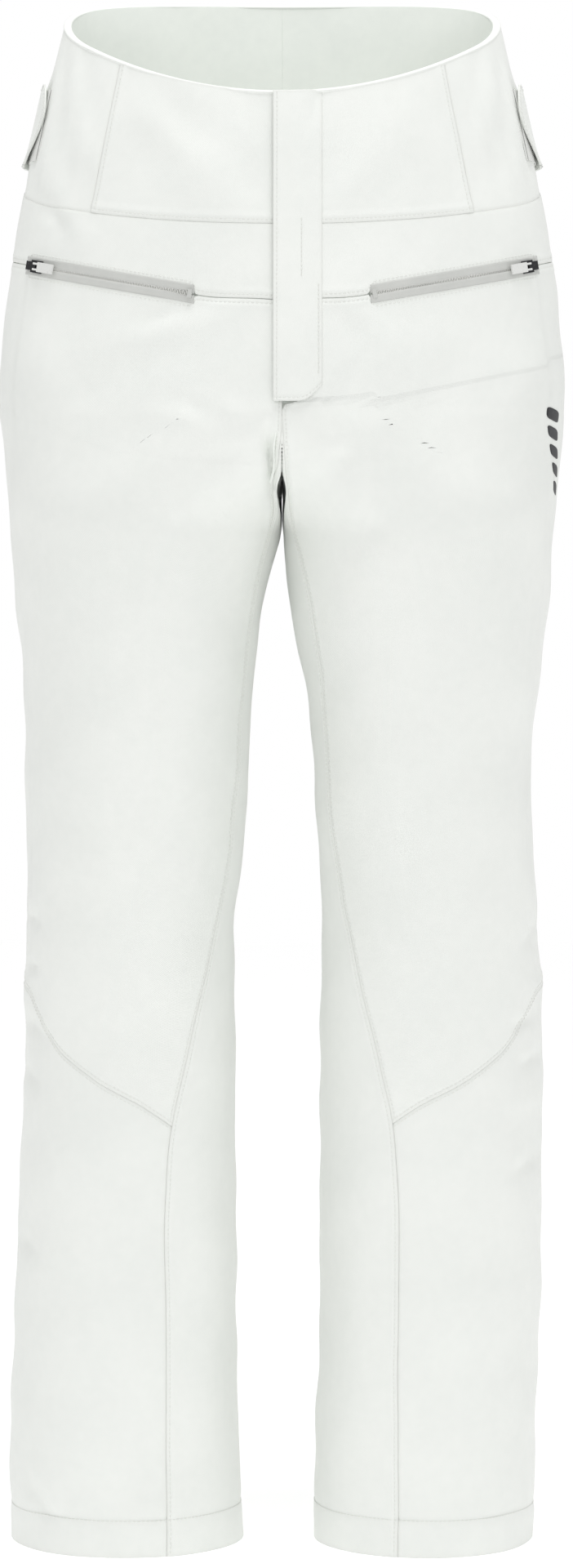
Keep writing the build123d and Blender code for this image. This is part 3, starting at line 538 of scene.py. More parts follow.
def thicken(piece, thickness):
    """Gives a sheet its thickness inwards, with its edges closed."""
    solid = piece.modifiers.new("thickness", "SOLIDIFY")
    solid.thickness = thickness
    solid.offset = -1
    solid.use_rim = True
    return piece


# ---- Colours, as linear light ----
def rgb(red, green, blue):
    """Linear colour of a screen colour."""
    share = np.array([red, green, blue]) / 255
    return (*np.where(share <= 0.04045, share / 12.92, ((share + 0.055) / 1.055) ** 2.4).tolist(), 1.0)


WHITE = rgb(241, 243, 239)
WHITE_SHADE = rgb(231, 234, 230)
LINING_WHITE = rgb(236, 239, 234)
LINING_SHADE = rgb(222, 226, 222)
TAPE_GREY = rgb(205, 206, 202)
TAPE_SHADE = rgb(186, 188, 185)
COIL_GREY = rgb(221, 221, 217)
BLACK_PAINT = rgb(30, 31, 33)
BLACK_WORN = rgb(92, 93, 95)
PULL_GREY = rgb(226, 227, 224)
PULL_SHADE = rgb(196, 198, 197)
STEEL = rgb(176, 178, 180)
STEEL_DULL = rgb(120, 122, 124)
HOOK_WHITE = rgb(228, 229, 226)
ELASTIC_GREY = rgb(150, 152, 153)
GAITER_GREY = rgb(216, 218, 217)
PRINT_GREY = rgb(38, 39, 42)
THREAD_WHITE = rgb(232, 233, 228)
# Grey of the painted shade in the seams of the cloth
SEAM_SHADE_GREY = rgb(205, 205, 198)


# ---- Shader groups ----
def add(tree, kind, wires=None, **settings):
    """A node with its settings, and its inputs linked from sockets or set to values."""
    made = tree.nodes.new(kind)
    for key, value in settings.items():
        setattr(made, key, value)
    for socket, value in (wires or {}).items():
        if isinstance(value, bpy.types.NodeSocket):
            tree.links.new(value, made.inputs[socket])
        else:
            made.inputs[socket].default_value = value
    return made


def calc(tree, operation, *values):
    """The result of a math node."""
    return add(tree, "ShaderNodeMath", dict(enumerate(values)), operation=operation).outputs[0]


def effect(name, inputs, outputs):
    """A shader node group with named inputs and outputs: its tree, its input node and its output node."""
    tree = bpy.data.node_groups.new(name, "ShaderNodeTree")
    for key, (kind, default) in inputs.items():
        socket = tree.interface.new_socket(key, in_out="INPUT", socket_type=kind)
        if default is not None:
            socket.default_value = default
    for key, kind in outputs.items():
        tree.interface.new_socket(key, in_out="OUTPUT", socket_type=kind)
    return tree, tree.nodes.new("NodeGroupInput"), tree.nodes.new("NodeGroupOutput")


FLOAT, COLOUR, VECTOR = "NodeSocketFloat", "NodeSocketColor", "NodeSocketVector"


def weave_effect():
    """Twill: slanted ribs across two sets of threads. Puts out the thread height and a fleck mask."""
    tree, given, out = effect(
        "Twill weave",
        {"Vector": (VECTOR, None), "Thread": (FLOAT, 0.0005), "Slant": (FLOAT, 1.0)},
        {"Height": FLOAT, "Fleck": FLOAT},
    )
    parts = add(tree, "ShaderNodeSeparateXYZ", {0: given.outputs["Vector"]})
    over = calc(tree, "DIVIDE", parts.outputs[0], given.outputs["Thread"])
    down = calc(tree, "DIVIDE", parts.outputs[1], given.outputs["Thread"])
    slanted = calc(tree, "MULTIPLY_ADD", down, given.outputs["Slant"], over)
    rib = calc(tree, "SINE", calc(tree, "MULTIPLY", slanted, math.pi))
    warp = calc(tree, "SINE", calc(tree, "MULTIPLY", over, 2 * math.pi))
    weft = calc(tree, "SINE", calc(tree, "MULTIPLY", down, 2 * math.pi))
    height = calc(tree, "MULTIPLY_ADD", calc(tree, "MULTIPLY", warp, weft), 0.35, rib)
    scaled = add(tree, "ShaderNodeVectorMath", {0: given.outputs["Vector"], "Scale": 900.0}, operation="SCALE")
    fleck = add(tree, "ShaderNodeTexNoise", {"Vector": scaled.outputs[0], "Scale": 1.0, "Detail": 2.0})
    tree.links.new(calc(tree, "MULTIPLY_ADD", height, 0.5, 0.5), out.inputs["Height"])
    tree.links.new(fleck.outputs["Fac"], out.inputs["Fleck"])
    return tree


def tone_effect():
    """Slow patches of a second tone over a colour, in two sizes."""
    tree, given, out = effect(
        "Slow tone",
        {
            "Vector": (VECTOR, None), "Colour": (COLOUR, None), "Second": (COLOUR, None),
            "Amount": (FLOAT, 0.5), "Size": (FLOAT, 0.08),
        },
        {"Colour": COLOUR, "Mask": FLOAT},
    )
    rate = calc(tree, "DIVIDE", 1.0, given.outputs["Size"])
    wide = add(tree, "ShaderNodeTexNoise", {"Vector": given.outputs["Vector"], "Scale": rate, "Detail": 3.0})
    fine = add(
        tree, "ShaderNodeTexNoise",
        {"Vector": given.outputs["Vector"], "Scale": calc(tree, "MULTIPLY", rate, 9.0), "Detail": 2.0},
    )
    both = calc(tree, "MULTIPLY_ADD", fine.outputs["Fac"], 0.35, calc(tree, "MULTIPLY", wide.outputs["Fac"], 0.8))
    mask = add(tree, "ShaderNodeMapRange", {0: both, 1: 0.40, 2: 0.75, 3: 0.0, 4: 1.0}).outputs[0]
    mixed = add(
        tree, "ShaderNodeMix",
        {0: calc(tree, "MULTIPLY", mask, given.outputs["Amount"]), 6: given.outputs["Colour"],
         7: given.outputs["Second"]},
        data_type="RGBA",
    )
    tree.links.new(mixed.outputs[2], out.inputs["Colour"])
    tree.links.new(mask, out.inputs["Mask"])
    return tree


def wear_effect():
    """Small scuffs that show a second colour, with a mask for the roughness."""
    tree, given, out = effect(
        "Scuffs",
        {
            "Vector": (VECTOR, None), "Colour": (COLOUR, None), "Bare": (COLOUR, None),
            "Amount": (FLOAT, 0.3), "Scale": (FLOAT, 600.0),
        },
        {"Colour": COLOUR, "Mask": FLOAT, "Height": FLOAT},
    )
    patches = add(
        tree, "ShaderNodeTexNoise",
        {"Vector": given.outputs["Vector"], "Scale": given.outputs["Scale"], "Detail": 4.0, "Roughness": 0.65},
    )
    grain = add(
        tree, "ShaderNodeTexNoise",
        {"Vector": given.outputs["Vector"], "Scale": calc(tree, "MULTIPLY", given.outputs["Scale"], 6.0)},
    )
    mask = add(tree, "ShaderNodeMapRange", {0: patches.outputs["Fac"], 1: 0.55, 2: 0.68, 3: 0.0, 4: 1.0}).outputs[0]
    amount = calc(tree, "MULTIPLY", mask, given.outputs["Amount"])
    mixed = add(
        tree, "ShaderNodeMix", {0: amount, 6: given.outputs["Colour"], 7: given.outputs["Bare"]}, data_type="RGBA"
    )
    tree.links.new(mixed.outputs[2], out.inputs["Colour"])
    tree.links.new(amount, out.inputs["Mask"])
    tree.links.new(grain.outputs["Fac"], out.inputs["Height"])
    return tree


WEAVE, TONE, SCUFFS = weave_effect(), tone_effect(), wear_effect()


def use(tree, effect_tree, wires):
    """A group placed in a material with its own values."""
    made = tree.nodes.new("ShaderNodeGroup")
    made.node_tree = effect_tree
    for socket, value in wires.items():
        if isinstance(value, bpy.types.NodeSocket):
            tree.links.new(value, made.inputs[socket])
        else:
            made.inputs[socket].default_value = value
    return made.outputs


def finish_named(name):
    """An empty material: the material, its tree, its shader and the object coordinates."""
    material = bpy.data.materials.new(name)
    material.use_nodes = True
    tree = material.node_tree
    shader = tree.nodes["Principled BSDF"]
    place = tree.nodes.new("ShaderNodeTexCoord").outputs["Object"]
    return material, tree, shader, place


def cloth(
    name, colour, second, thread, slant, depth, roughness, mapped=True, seams=True, amount=0.5, sheen=0.15,
):
    """Woven cloth: slow tones, thread flecks, painted shade in the seams, and the weave as a fine bump."""
    material, tree, shader, place = finish_named(name)
    along = add(tree, "ShaderNodeUVMap", uv_map="cloth").outputs[0] if mapped else place
    weave = use(tree, WEAVE, {"Vector": along, "Thread": thread, "Slant": slant})
    tone = use(tree, TONE, {"Vector": place, "Colour": colour, "Second": second, "Amount": amount, "Size": 0.07})
    shaded = add(
        tree, "ShaderNodeMix",
        {0: calc(tree, "MULTIPLY", weave["Fleck"], 0.10), 6: tone["Colour"], 7: second}, data_type="RGBA",
    ).outputs[2]
    if seams:
        # Painted shade: the colour darkens towards a grey near the sewn edges, where the seams dip
        near = add(tree, "ShaderNodeAttribute", attribute_name="seam").outputs["Fac"]
        shaded = add(
            tree, "ShaderNodeMix", {0: calc(tree, "MULTIPLY", near, 0.16), 6: shaded, 7: SEAM_SHADE_GREY}, data_type="RGBA"
        ).outputs[2]
    tree.links.new(shaded, shader.inputs["Base Color"])
    rough = add(tree, "ShaderNodeMapRange", {0: tone["Mask"], 1: 0.0, 2: 1.0, 3: roughness, 4: roughness + 0.08})
    tree.links.new(rough.outputs[0], shader.inputs["Roughness"])
    bump = add(tree, "ShaderNodeBump", {"Height": weave["Height"], "Strength": 0.5, "Distance": depth})
    tree.links.new(bump.outputs[0], shader.inputs["Normal"])
    shader.inputs["Sheen Weight"].default_value = sheen
    shader.inputs["Sheen Roughness"].default_value = 0.6
    shader.inputs["Specular IOR Level"].default_value = 0.25
    return material


def hard(name, colour, bare, amount, scale, roughness, metallic=0.0, depth=0.00004):
    """Moulded plastic or painted metal: scuffs in colour and roughness over a fine grain."""
    material, tree, shader, place = finish_named(name)
    scuffs = use(tree, SCUFFS, {"Vector": place, "Colour": colour, "Bare": bare, "Amount": amount, "Scale": scale})
    tree.links.new(scuffs["Colour"], shader.inputs["Base Color"])
    rough = add(tree, "ShaderNodeMapRange", {0: scuffs["Mask"], 1: 0.0, 2: 1.0, 3: roughness, 4: roughness + 0.25})
    tree.links.new(rough.outputs[0], shader.inputs["Roughness"])
    bump = add(tree, "ShaderNodeBump", {"Height": scuffs["Height"], "Strength": 0.4, "Distance": depth})
    tree.links.new(bump.outputs[0], shader.inputs["Normal"])
    shader.inputs["Metallic"].default_value = metallic
    return material


SHELL = cloth("shell_twill", WHITE, WHITE_SHADE, 0.00052, 1.0, 0.00010, 0.62)
LINING = cloth(
    "lining_taffeta", LINING_WHITE, LINING_SHADE, 0.00038, 0.0, 0.00005, 0.50, seams=False, sheen=0.05,
)
for node in LINING.node_tree.nodes:
    if node.type == "BSDF_PRINCIPLED":
        node.inputs["Emission Color"].default_value = (0.84, 0.87, 0.83, 1)
        node.inputs["Emission Strength"].default_value = LINING_GLOW
TAPE = cloth("welded_tape", TAPE_GREY, TAPE_SHADE, 0.0006, -1.0, 0.00006, 0.42, mapped=False, seams=False)
HOOKS = cloth("hook_and_loop", HOOK_WHITE, TAPE_GREY, 0.0011, 0.0, 0.00040, 0.85, mapped=False, seams=False)
ELASTIC = cloth(
    "gripper_elastic", ELASTIC_GREY, TAPE_SHADE, 0.0024, 0.0, 0.00030, 0.55, mapped=False, seams=False,
)
GAITER = cloth(
    "gaiter_cloth", GAITER_GREY, LINING_SHADE, 0.00045, 1.0, 0.00008, 0.58, mapped=False, seams=False,
)
BINDING = cloth("rim_cloth", WHITE, WHITE_SHADE, 0.00052, 1.0, 0.00008, 0.60, mapped=False, seams=False)
GAITER_SHEET = cloth(
    "gaiter_sheet_cloth", GAITER_GREY, LINING_SHADE, 0.00045, 1.0, 0.00008, 0.58, seams=False,
)
THREAD = cloth("sewing_thread", THREAD_WHITE, WHITE_SHADE, 0.00022, 1.0, 0.00005, 0.55, mapped=False, seams=False)
COIL = hard("zip_coil", COIL_GREY, PULL_GREY, 0.5, 900.0, 0.35)
BLACK = hard("black_slider", BLACK_PAINT, BLACK_WORN, 0.45, 420.0, 0.32, metallic=0.2)
PULL = hard("pull_cap", PULL_GREY, PULL_SHADE, 0.6, 500.0, 0.40)
SNAP = hard("snap_metal", STEEL, STEEL_DULL, 0.6, 700.0, 0.28, metallic=1.0)
PRINT = hard("heat_print", PRINT_GREY, BLACK_WORN, 0.4, 300.0, 0.45, depth=0.00002)


# ---- Pieces of cloth ----
def closeness(over, deep):
    """How near each point is to a sewn edge, from 1 on it to 0 a few millimetres in."""
    edge = np.minimum(np.minimum(over, over[:, -1:] - over), np.minimum(deep, deep[-1:] - deep))
    return np.exp(-((edge / 0.0016) ** 2))


def cloth_piece(name, grids, flips, material, body, nodes, thickness=SHELL_THICK, closed=False):
    """A sheet of cloth from grids: its mesh, thickness, finish, body and flat size."""
    points, faces, maps = join_grids(grids, flips, closed)
    piece = add_mesh(name, points, faces, maps)
    # How near each point is to a sewn edge is kept as the mask for the painted shade in the seams
    near = np.concatenate([closeness(over, deep).ravel() for _, over, deep in grids])
    piece.data.attributes.new("seam", "FLOAT", "POINT").data.foreach_set("value", near.astype(np.float32))
    thicken(piece, thickness)
    piece.data.materials.append(material)
    if nodes:
        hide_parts(*nodes)
    if isinstance(body, tuple):
        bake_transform(piece)
    else:
        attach(piece, body)
    return piece


BACK_SEAM_LINE = smooth_line([
    (CROTCH, 0.0), (-0.327, 0.006), (-0.370, 0.020), (-0.450, 0.030), (-0.600, 0.040), (-0.800, 0.048),
    (HEM, 0.052),
])
BACK_SEAM = {side: seam_angle(side, BACK_SEAM_LINE) for side in SIDES}
BAND_BACK = 0.1225
BAND_BACK_SEAM = {side: seam_angle(side, lambda z: np.full_like(z, BAND_BACK)) for side in SIDES}


def level(height):
    """A level edge at one height."""
    return lambda side, turn: height + 0 * turn


def knee_edge(side, turn):
    """The slanting seam under the knee panel."""
    return KNEE_SEAM_Z(np.degrees(turn))


def zip_above(side, turn):
    return zip_height(side, turn, slot_opening(side, turn))


def zip_below(side, turn):
    return zip_height(side, turn, -slot_opening(side, turn))


def turned(edge, sign=-1.0, whole=2 * math.pi):
    """An upright edge mirrored from the front to the back."""
    return lambda height: whole + sign * edge(height)


for side in SIDES:
    flip = side == "right"
    shin = f"{side}_shin"
    leg = ("hips", shin)
    cloth_piece(
        f"shell_waistband_front_{side}",
        [panel(side, BAND_START[side], GUSSET_SEAM[side], rim_height, band_height,
               ("open", "sewn", "open", "sewn"), stitch=("right", "bottom"))],
        [flip], SHELL, "hips", [f"waistband_front_{side}"],
    )
    cloth_piece(
        f"shell_side_gusset_{side}",
        [panel(side, GUSSET_SEAM[side], turned(BAND_BACK_SEAM[side]), rim_height, band_height,
               ("under", "under", "open", "under"), gathered=True)],
        [flip], SHELL, "hips", [f"side_gusset_{side}"],
    )
    cloth_piece(
        f"shell_front_yoke_{side}",
        [panel(side, FLY_SEAM[side], HALF_TURN, band_height, zip_above,
               ("open", "sewn", "under", "zip"), stitch=("bottom",))],
        [flip], SHELL, "hips", [f"front_yoke_{side}"],
    )
    cloth_piece(
        f"shell_front_panel_{side}",
        [panel(side, FLY_SEAM[side], HALF_TURN, zip_below, knee_edge,
               ("sewn", "sewn", "zip", "sewn"), stitch=("top", "bottom", "left"))],
        [flip], SHELL, leg,
        [f"front_panel_{side}", f"knee_front_{side}"] + (["fly_binding"] if side == "left" else []),
    )
    cloth_piece(
        f"shell_shin_front_{side}",
        [panel(side, FRONT_SEAM[side], HALF_TURN, knee_edge, level(HEM),
               ("under", "sewn", "under", "hem"), stitch=("top",))],
        [flip], SHELL, leg, [f"shin_front_{side}"],
    )
    cloth_piece(
        f"shell_inner_leg_{side}",
        [panel(side, turned(BACK_SEAM[side], whole=0.0), FRONT_SEAM[side], level(CROTCH - CROTCH_SEAM), level(HEM),
               ("under", "sewn", "under", "hem"), stitch=("right",))],
        [flip], SHELL, leg, [f"inner_leg_panel_{side}", f"shin_inner_{side}"],
    )
    cloth_piece(
        f"shell_leg_back_{side}",
        [panel(side, HALF_TURN, turned(BACK_SEAM[side]), band_height, level(HEM),
               ("under", "sewn", "under", "hem"), stitch=("left", "right", "top"))],
        [flip], SHELL, leg,
        [f"seat_panel_{side}", f"knee_back_{side}", f"shin_back_{side}"],
    )
    body_lining = panel(
        side, FRONT_SEAM[side], turned(BACK_SEAM[side]), rim_height, level(HEM + LINING_RAISE),
        ("open", "open", "open", "open"), lift=-LINING_GAP, coarse=1.5,
    )
    leg_lining = panel(
        side, turned(BACK_SEAM[side], whole=0.0), FRONT_SEAM[side], level(CROTCH - CROTCH_SEAM),
        level(HEM + LINING_RAISE),
        ("open", "open", "open", "open"), lift=-LINING_GAP, coarse=1.5,
    )
    cloth_piece(
        f"lining_sheet_{side}", [body_lining, leg_lining], [not flip, not flip], LINING, leg,
        [f"lining_{side}", f"shin_lining_{side}"] + (["waistband_lining"] if side == "right" else []),
        thickness=LINING_THICK,
    )

back_grids = [
    panel(side, turned(BAND_BACK_SEAM[side]), lambda height: 1.5 * math.pi + 0 * np.asarray(height), rim_height,
          band_height, ("sewn", "open", "open", "sewn"), stitch=("left", "bottom"))
    for side in SIDES
]
cloth_piece(
    "shell_waistband_back", back_grids, [True, False], SHELL, "hips", ["waistband_back"],
)


# ---- Fly flap ----
FLAP_LOW, FLAP_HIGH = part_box("fly_flap")
FLAP_LIFT = 0.0033
FLAP_THICK = 0.0012
FLAP_SEAM_LIFT = 0.0007


def flap_lift(turn, height):
    """The flap stands off the fly at its free edge and runs down to the cloth at its sewn edge."""
    x = body_point("left", turn, height)[..., 0]
    return FLAP_LIFT - (FLAP_LIFT - FLAP_SEAM_LIFT) * ease(0.011, FLAP_HIGH[0], x)


def flap_bottom(side, turn):
    """The lower edge turns up in a curve towards the sewn edge."""
    x = body_point(side, turn, np.full_like(turn, FLAP_LOW[2]))[..., 0]
    return FLAP_LOW[2] - 0.006 + 0.012 * ease(0.010, 0.030, x) ** 1.5


flap_stitches = []
cloth_piece(
    "flap_sheet",
    [panel("left", seam_angle("left", lambda z: np.full_like(z, FLAP_LOW[0])),
           seam_angle("left", lambda z: np.full_like(z, FLAP_HIGH[0])), rim_height, flap_bottom,
           ("loose", "open", "open", "loose"), lift=flap_lift, stitch=("left", "bottom"), store=flap_stitches)],
    [False], SHELL, "fly_flap", ["fly_flap"], thickness=FLAP_THICK,
)


# ---- Waist tabs ----
TAB_LOW, TAB_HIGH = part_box("waist_tab_right")
TAB_LIFT = 0.0033
TAB_THICK = 0.0013


def side_angle(side, y, height):
    """The angle at the outer side where the surface is at that depth, found by halving."""
    low, high = np.full_like(height, 0.5 * math.pi), np.full_like(height, 1.5 * math.pi)
    for _ in range(28):
        middle = (low + high) / 2
        behind = body_point(side, middle, height)[..., 1] > y
        high, low = np.where(behind, middle, high), np.where(behind, low, middle)
    return (low + high) / 2


def tab_grid(side):
    """The tab's face: columns from its rounded free end in front to its root behind, rows from top to
    bottom. The free end is furthest forward above its middle and both of its corners are rounded."""
    down = graded(np.array([TAB_HIGH[2] - TAB_LOW[2]]), 9).T
    back = graded(np.array([TAB_HIGH[1] - TAB_LOW[1]]), 18)
    height = TAB_HIGH[2] + (TAB_LOW[2] - TAB_HIGH[2]) * down + 0 * back
    corner = 1 - np.sqrt(np.maximum(1 - np.abs(2 * down - 1) ** 7, 0))
    tip = TAB_LOW[1] + 0.016 * np.abs(down - 0.36) ** 1.6 / 0.49 + 0.007 * corner
    depth = tip + (TAB_HIGH[1] - tip) * back
    turn = side_angle(side, depth, height)
    base = body_point(side, turn, height)
    normal = outward(base) * (1 if side == "right" else -1)
    over, deep = run_lengths(base)
    rise = TAB_LIFT + 0.0016 * ease(0.030, 0.0, over) * (0.6 + 0.4 * np.sin(7 * down + 1))
    rise = rise + 0.00025 * np.sin(210 * depth + 60 * height) * ease(0.0, 0.02, over)
    edges = (over, over[:, -1:] - over, deep, deep[-1:] - deep)
    for distance, kind in zip(edges, ("loose", "open", "loose", "loose")):
        rise = rise + relief(distance, kind)
    return base + normal * rise[..., None], over, deep, normal


tab_stitches = {}
for side in SIDES:
    grid, over, deep, normal = tab_grid(side)
    cloth_piece(
        f"tab_sheet_{side}", [(grid, over, deep)], [side == "right"], SHELL, f"{side}_waist_tab",
        [f"waist_tab_{side}"], thickness=TAB_THICK,
    )
    tab_stitches[side] = [
        (line, way) for line, way in (
            (grid[4, 4:-3], normal[4, 4:-3]), (grid[-5, 4:-3], normal[-5, 4:-3]), (grid[4:-4, 4], normal[4:-4, 4]),
        )
    ]


# ---- Pocket zips: welded tape lips, coil teeth, and the bags behind ----
TAPE_HALF = 0.0062
TAPE_SLIT = 0.00035
TAPE_RISE = 0.00035


def tape_lip(side, low, high):
    """One lip of the tape: a band along the zip between two heights off its middle line."""
    across = np.linspace(0, 1, 60)[None, :]
    down = np.linspace(0, 1, 7)[:, None]
    ends = [side_end(side, x) for x in (TAPE_INNER, TAPE_OUTER)]
    turn = ends[0] + (ends[1] - ends[0]) * across + 0 * down
    height = zip_height(side, turn, high + (low - high) * down + 0 * turn)
    base = body_point(side, turn, height)
    normal = outward(base) * (1 if side == "right" else -1)
    over, deep = run_lengths(base)
    slit = down if low > 0 or high < -low else 1 - down
    inner = slit if abs(low) < abs(high) else 1 - down
    rise = TAPE_RISE + drape(base) - 0.0006 * ease(0.82, 1.0, inner)
    return base + normal * rise[..., None], over, deep


def side_end(side, x):
    """The angle of a zip end."""
    height = np.array([-0.165])
    for _ in range(4):
        turn = angle_at(side, np.array([x]), height)
        height = zip_height(side, turn, 0.0)
    return float(turn[0])


def zip_frame():
    """Two directions across the plane of the right pocket zip."""
    flat = np.cross(ZIP_AXIS, (0, 0, 1.0))
    flat /= np.linalg.norm(flat)
    return flat, np.cross(ZIP_AXIS, flat)


def coil_teeth(side):
    """Rounded teeth set side by side along the zip's arc, each an oval bead across the line; every
    second one sits a little to the other side. Points are bead centres plus one bead shape."""
    flat, up = zip_frame()
    low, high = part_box("pocket_coil_right")
    spoke = np.array(JOINTS["right_pocket_pull"]["pos_m"]) - ZIP_CENTRE
    radius = np.linalg.norm(spoke) - PIN_OUT
    sweep = math.atan2(spoke @ up, spoke @ flat) + np.linspace(-1.2, 1.2, 24000)
    arc = ZIP_CENTRE + radius * (np.cos(sweep)[:, None] * flat + np.sin(sweep)[:, None] * up)
    kept = (arc[:, 0] > low[0]) & (arc[:, 0] < high[0]) & (arc[:, 1] < 0)
    start, end = sweep[kept][[0, -1]]
    count = int(abs(end - start) * radius / COIL_PITCH)
    turns = np.linspace(start, end, count)
    out = np.cos(turns)[:, None] * flat + np.sin(turns)[:, None] * up
    along = -np.sin(turns)[:, None] * flat + np.cos(turns)[:, None] * up
    ring, station = np.meshgrid(np.linspace(0, 2 * math.pi, 8, endpoint=False), np.linspace(-1, 1, 5))
    swell = np.sqrt(np.maximum(1 - station**2 * 0.96, 0.04))
    bead = np.stack([
        station * 0.0015, 0.00042 * swell * np.cos(ring), 0.00062 * swell * np.sin(ring) + 0 * station,
    ], axis=-1).reshape(-1, 3)
    shift = 0.00028 * np.where(np.arange(count) % 2 == 0, 1, -1)
    centre = ZIP_CENTRE + out * radius + ZIP_AXIS * shift[:, None]
    points = (
        centre[:, None] + bead[None, :, 0, None] * ZIP_AXIS + bead[None, :, 1, None] * along[:, None]
        + bead[None, :, 2, None] * out[:, None]
    )
    if side == "left":
        points = points * (-1, 1, 1)
    sheet_faces = grid_faces(5, 8, closed=True, flip=side == "left")
    caps = [np.arange(8)[::-1], 32 + np.arange(8)]
    caps = [cap[::-1] if side == "left" else cap for cap in caps]
    tops = np.array([[cap[0], cap[i], cap[i + 1], cap[i + 1]] for cap in caps for i in range(1, 7)])
    starts = (np.arange(count) * 40)[:, None, None]
    quads = (sheet_faces[None] + starts).reshape(-1, 4)
    ends = (tops[None, :, :3] + starts).reshape(-1, 3)
    return points.reshape(-1, 3), quads.tolist() + ends.tolist()


COIL_PITCH = 0.00125
PIN_OUT = 0.0041
BAG_LIFT = -0.0034
for side in SIDES:
    flip = side == "right"
    lips = [tape_lip(side, TAPE_SLIT, TAPE_HALF), tape_lip(side, -TAPE_HALF, -TAPE_SLIT)]
    cloth_piece(
        f"zip_tape_sheet_{side}", lips, [flip, flip], TAPE, "hips", [f"pocket_tapes_{side}"],
        thickness=0.0008,
    )
    points, faces = coil_teeth(side)
    mesh = bpy.data.meshes.new(f"coil_teeth_{side}")
    mesh.from_pydata(points.tolist(), [], faces)
    mesh.polygons.foreach_set("use_smooth", np.full(len(mesh.polygons), True))
    teeth = bpy.data.objects.new(f"coil_teeth_{side}", mesh)
    bpy.context.scene.collection.objects.link(teeth)
    teeth.data.materials.append(COIL)
    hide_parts(f"pocket_coil_{side}")
    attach(teeth, "hips")
    bag = panel(
        side, seam_angle(side, lambda z: np.full_like(z, TAPE_INNER + 0.002)),
        seam_angle(side, lambda z: np.full_like(z, TAPE_OUTER - 0.016)), zip_below,
        lambda side, turn: zip_height(side, turn, -0.112 + 0 * turn), ("open", "open", "open", "open"),
        lift=BAG_LIFT,
    )
    cloth_piece(
        f"pocket_bag_sheet_{side}", [bag], [flip], GAITER, "hips", [f"pocket_bag_{side}"],
        thickness=LINING_THICK,
    )


# ---- Rim binding, hem facings and gaiters ----
def tube(path, radius, sides=10, flat=1.0):
    """A round band carried along a path: rings across the path's direction, closed at both ends."""
    along = np.gradient(path, axis=0)
    along /= np.linalg.norm(along, axis=1, keepdims=True)
    across = np.cross(along, (0, 0, 1.0))
    across /= np.linalg.norm(across, axis=1, keepdims=True)
    up = np.cross(across, along)
    ring = np.linspace(0, 2 * math.pi, sides, endpoint=False)
    points = (
        path[:, None] + radius * np.cos(ring)[None, :, None] * across[:, None]
        + radius * flat * np.sin(ring)[None, :, None] * up[:, None]
    )
    faces = grid_faces(len(path), sides, closed=True).tolist()
    last = (len(path) - 1) * sides
    faces += [list(range(sides)), list(range(last, last + sides))[::-1]]
    return points.reshape(-1, 3), faces


RIM_RADIUS = 0.0029
rim_paths = []
for side in SIDES:
    turns = np.linspace(float(BAND_START[side](-0.04)), 1.5 * math.pi, 260)
    heights = rim_height(side, turns)
    rim = body_point(side, turns, heights)
    middle = rim * (1, 1, 0)
    rim = rim - 0.0023 * middle / np.linalg.norm(middle, axis=1, keepdims=True) - (0, 0, 0.0012)
    rim_paths.append(rim)
rim_path = np.concatenate([rim_paths[0], rim_paths[1][-2::-1]])
points, faces = tube(rim_path, RIM_RADIUS, sides=12, flat=0.62)
mesh = bpy.data.meshes.new("rim_binding")
mesh.from_pydata(points.tolist(), [], faces)
mesh.polygons.foreach_set("use_smooth", np.full(len(mesh.polygons), True))
binding = bpy.data.objects.new("rim_binding", mesh)
bpy.context.scene.collection.objects.link(binding)
binding.data.materials.append(BINDING)
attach(binding, "hips")

GAITER_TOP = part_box("gaiter_right")[1][2] - 0.004
GAITER_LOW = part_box("gaiter_right")[0][2]
GRIP_LOW, GRIP_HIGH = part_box("gaiter_gripper_right")
for side in SIDES:
    flip = side == "right"
    whole = np.linspace(0, 2 * math.pi, 145)[:-1][None, :]
    facing_down = np.linspace(0, 1, 14)[:, None]
    height = HEM + 0.0006 + 0.040 * (1 - facing_down) + 0 * whole
    base = body_point(side, whole + 0 * height, height)
    normal = outward(np.concatenate([base[:, -2:], base, base[:, :2]], axis=1))[:, 2:-2] * (1 if flip else -1)
    rise = drape(base) - 0.0022
    over, deep = run_lengths(base)
    cloth_piece(
        f"hem_facing_sheet_{side}", [(base + normal * rise[..., None], over, deep)], [not flip], SHELL,
        f"{side}_shin", [f"hem_facing_{side}"],
        thickness=0.0006, closed=True,
    )
    fall = np.linspace(0, 1, 40)[:, None]
    height = GAITER_TOP + (GAITER_LOW - GAITER_TOP) * fall + 0 * whole
    outer = body_point(side, whole + 0 * height, height)
    spread = outer - (outer.mean(1, keepdims=True))
    outer = outer - 0.0068 * spread / np.linalg.norm(spread * (1, 1, 0), axis=-1, keepdims=True)
    middle_x = (GRIP_LOW[0] + GRIP_HIGH[0]) / 2 * (1 if flip else -1)
    half_x = (GRIP_HIGH[0] - GRIP_LOW[0]) / 2 + 0.0012
    half_y = (GRIP_HIGH[1] - GRIP_LOW[1]) / 2 + 0.0012
    band = np.stack([
        middle_x - SIDES[side] * half_x * np.cos(whole) + 0 * height, -half_y * np.sin(whole) + 0 * height, height,
    ], axis=-1)
    share = ease(0.05, 0.86, fall)[..., None]
    ripple = 0.0011 * np.sin(whole * 23 + 5 * fall) * np.sin(np.pi * np.clip((fall - 0.2) / 0.75, 0, 1))
    grid = outer * (1 - share) + band * share
    grid[..., 0] += ripple * -SIDES[side] * np.cos(whole)
    grid[..., 1] += ripple * -np.sin(whole)
    over, deep = run_lengths(grid)
    cloth_piece(
        f"gaiter_sheet_{side}", [(grid, over, deep)], [flip], GAITER_SHEET, f"{side}_shin",
        [f"gaiter_{side}"], thickness=0.0007, closed=True,
    )


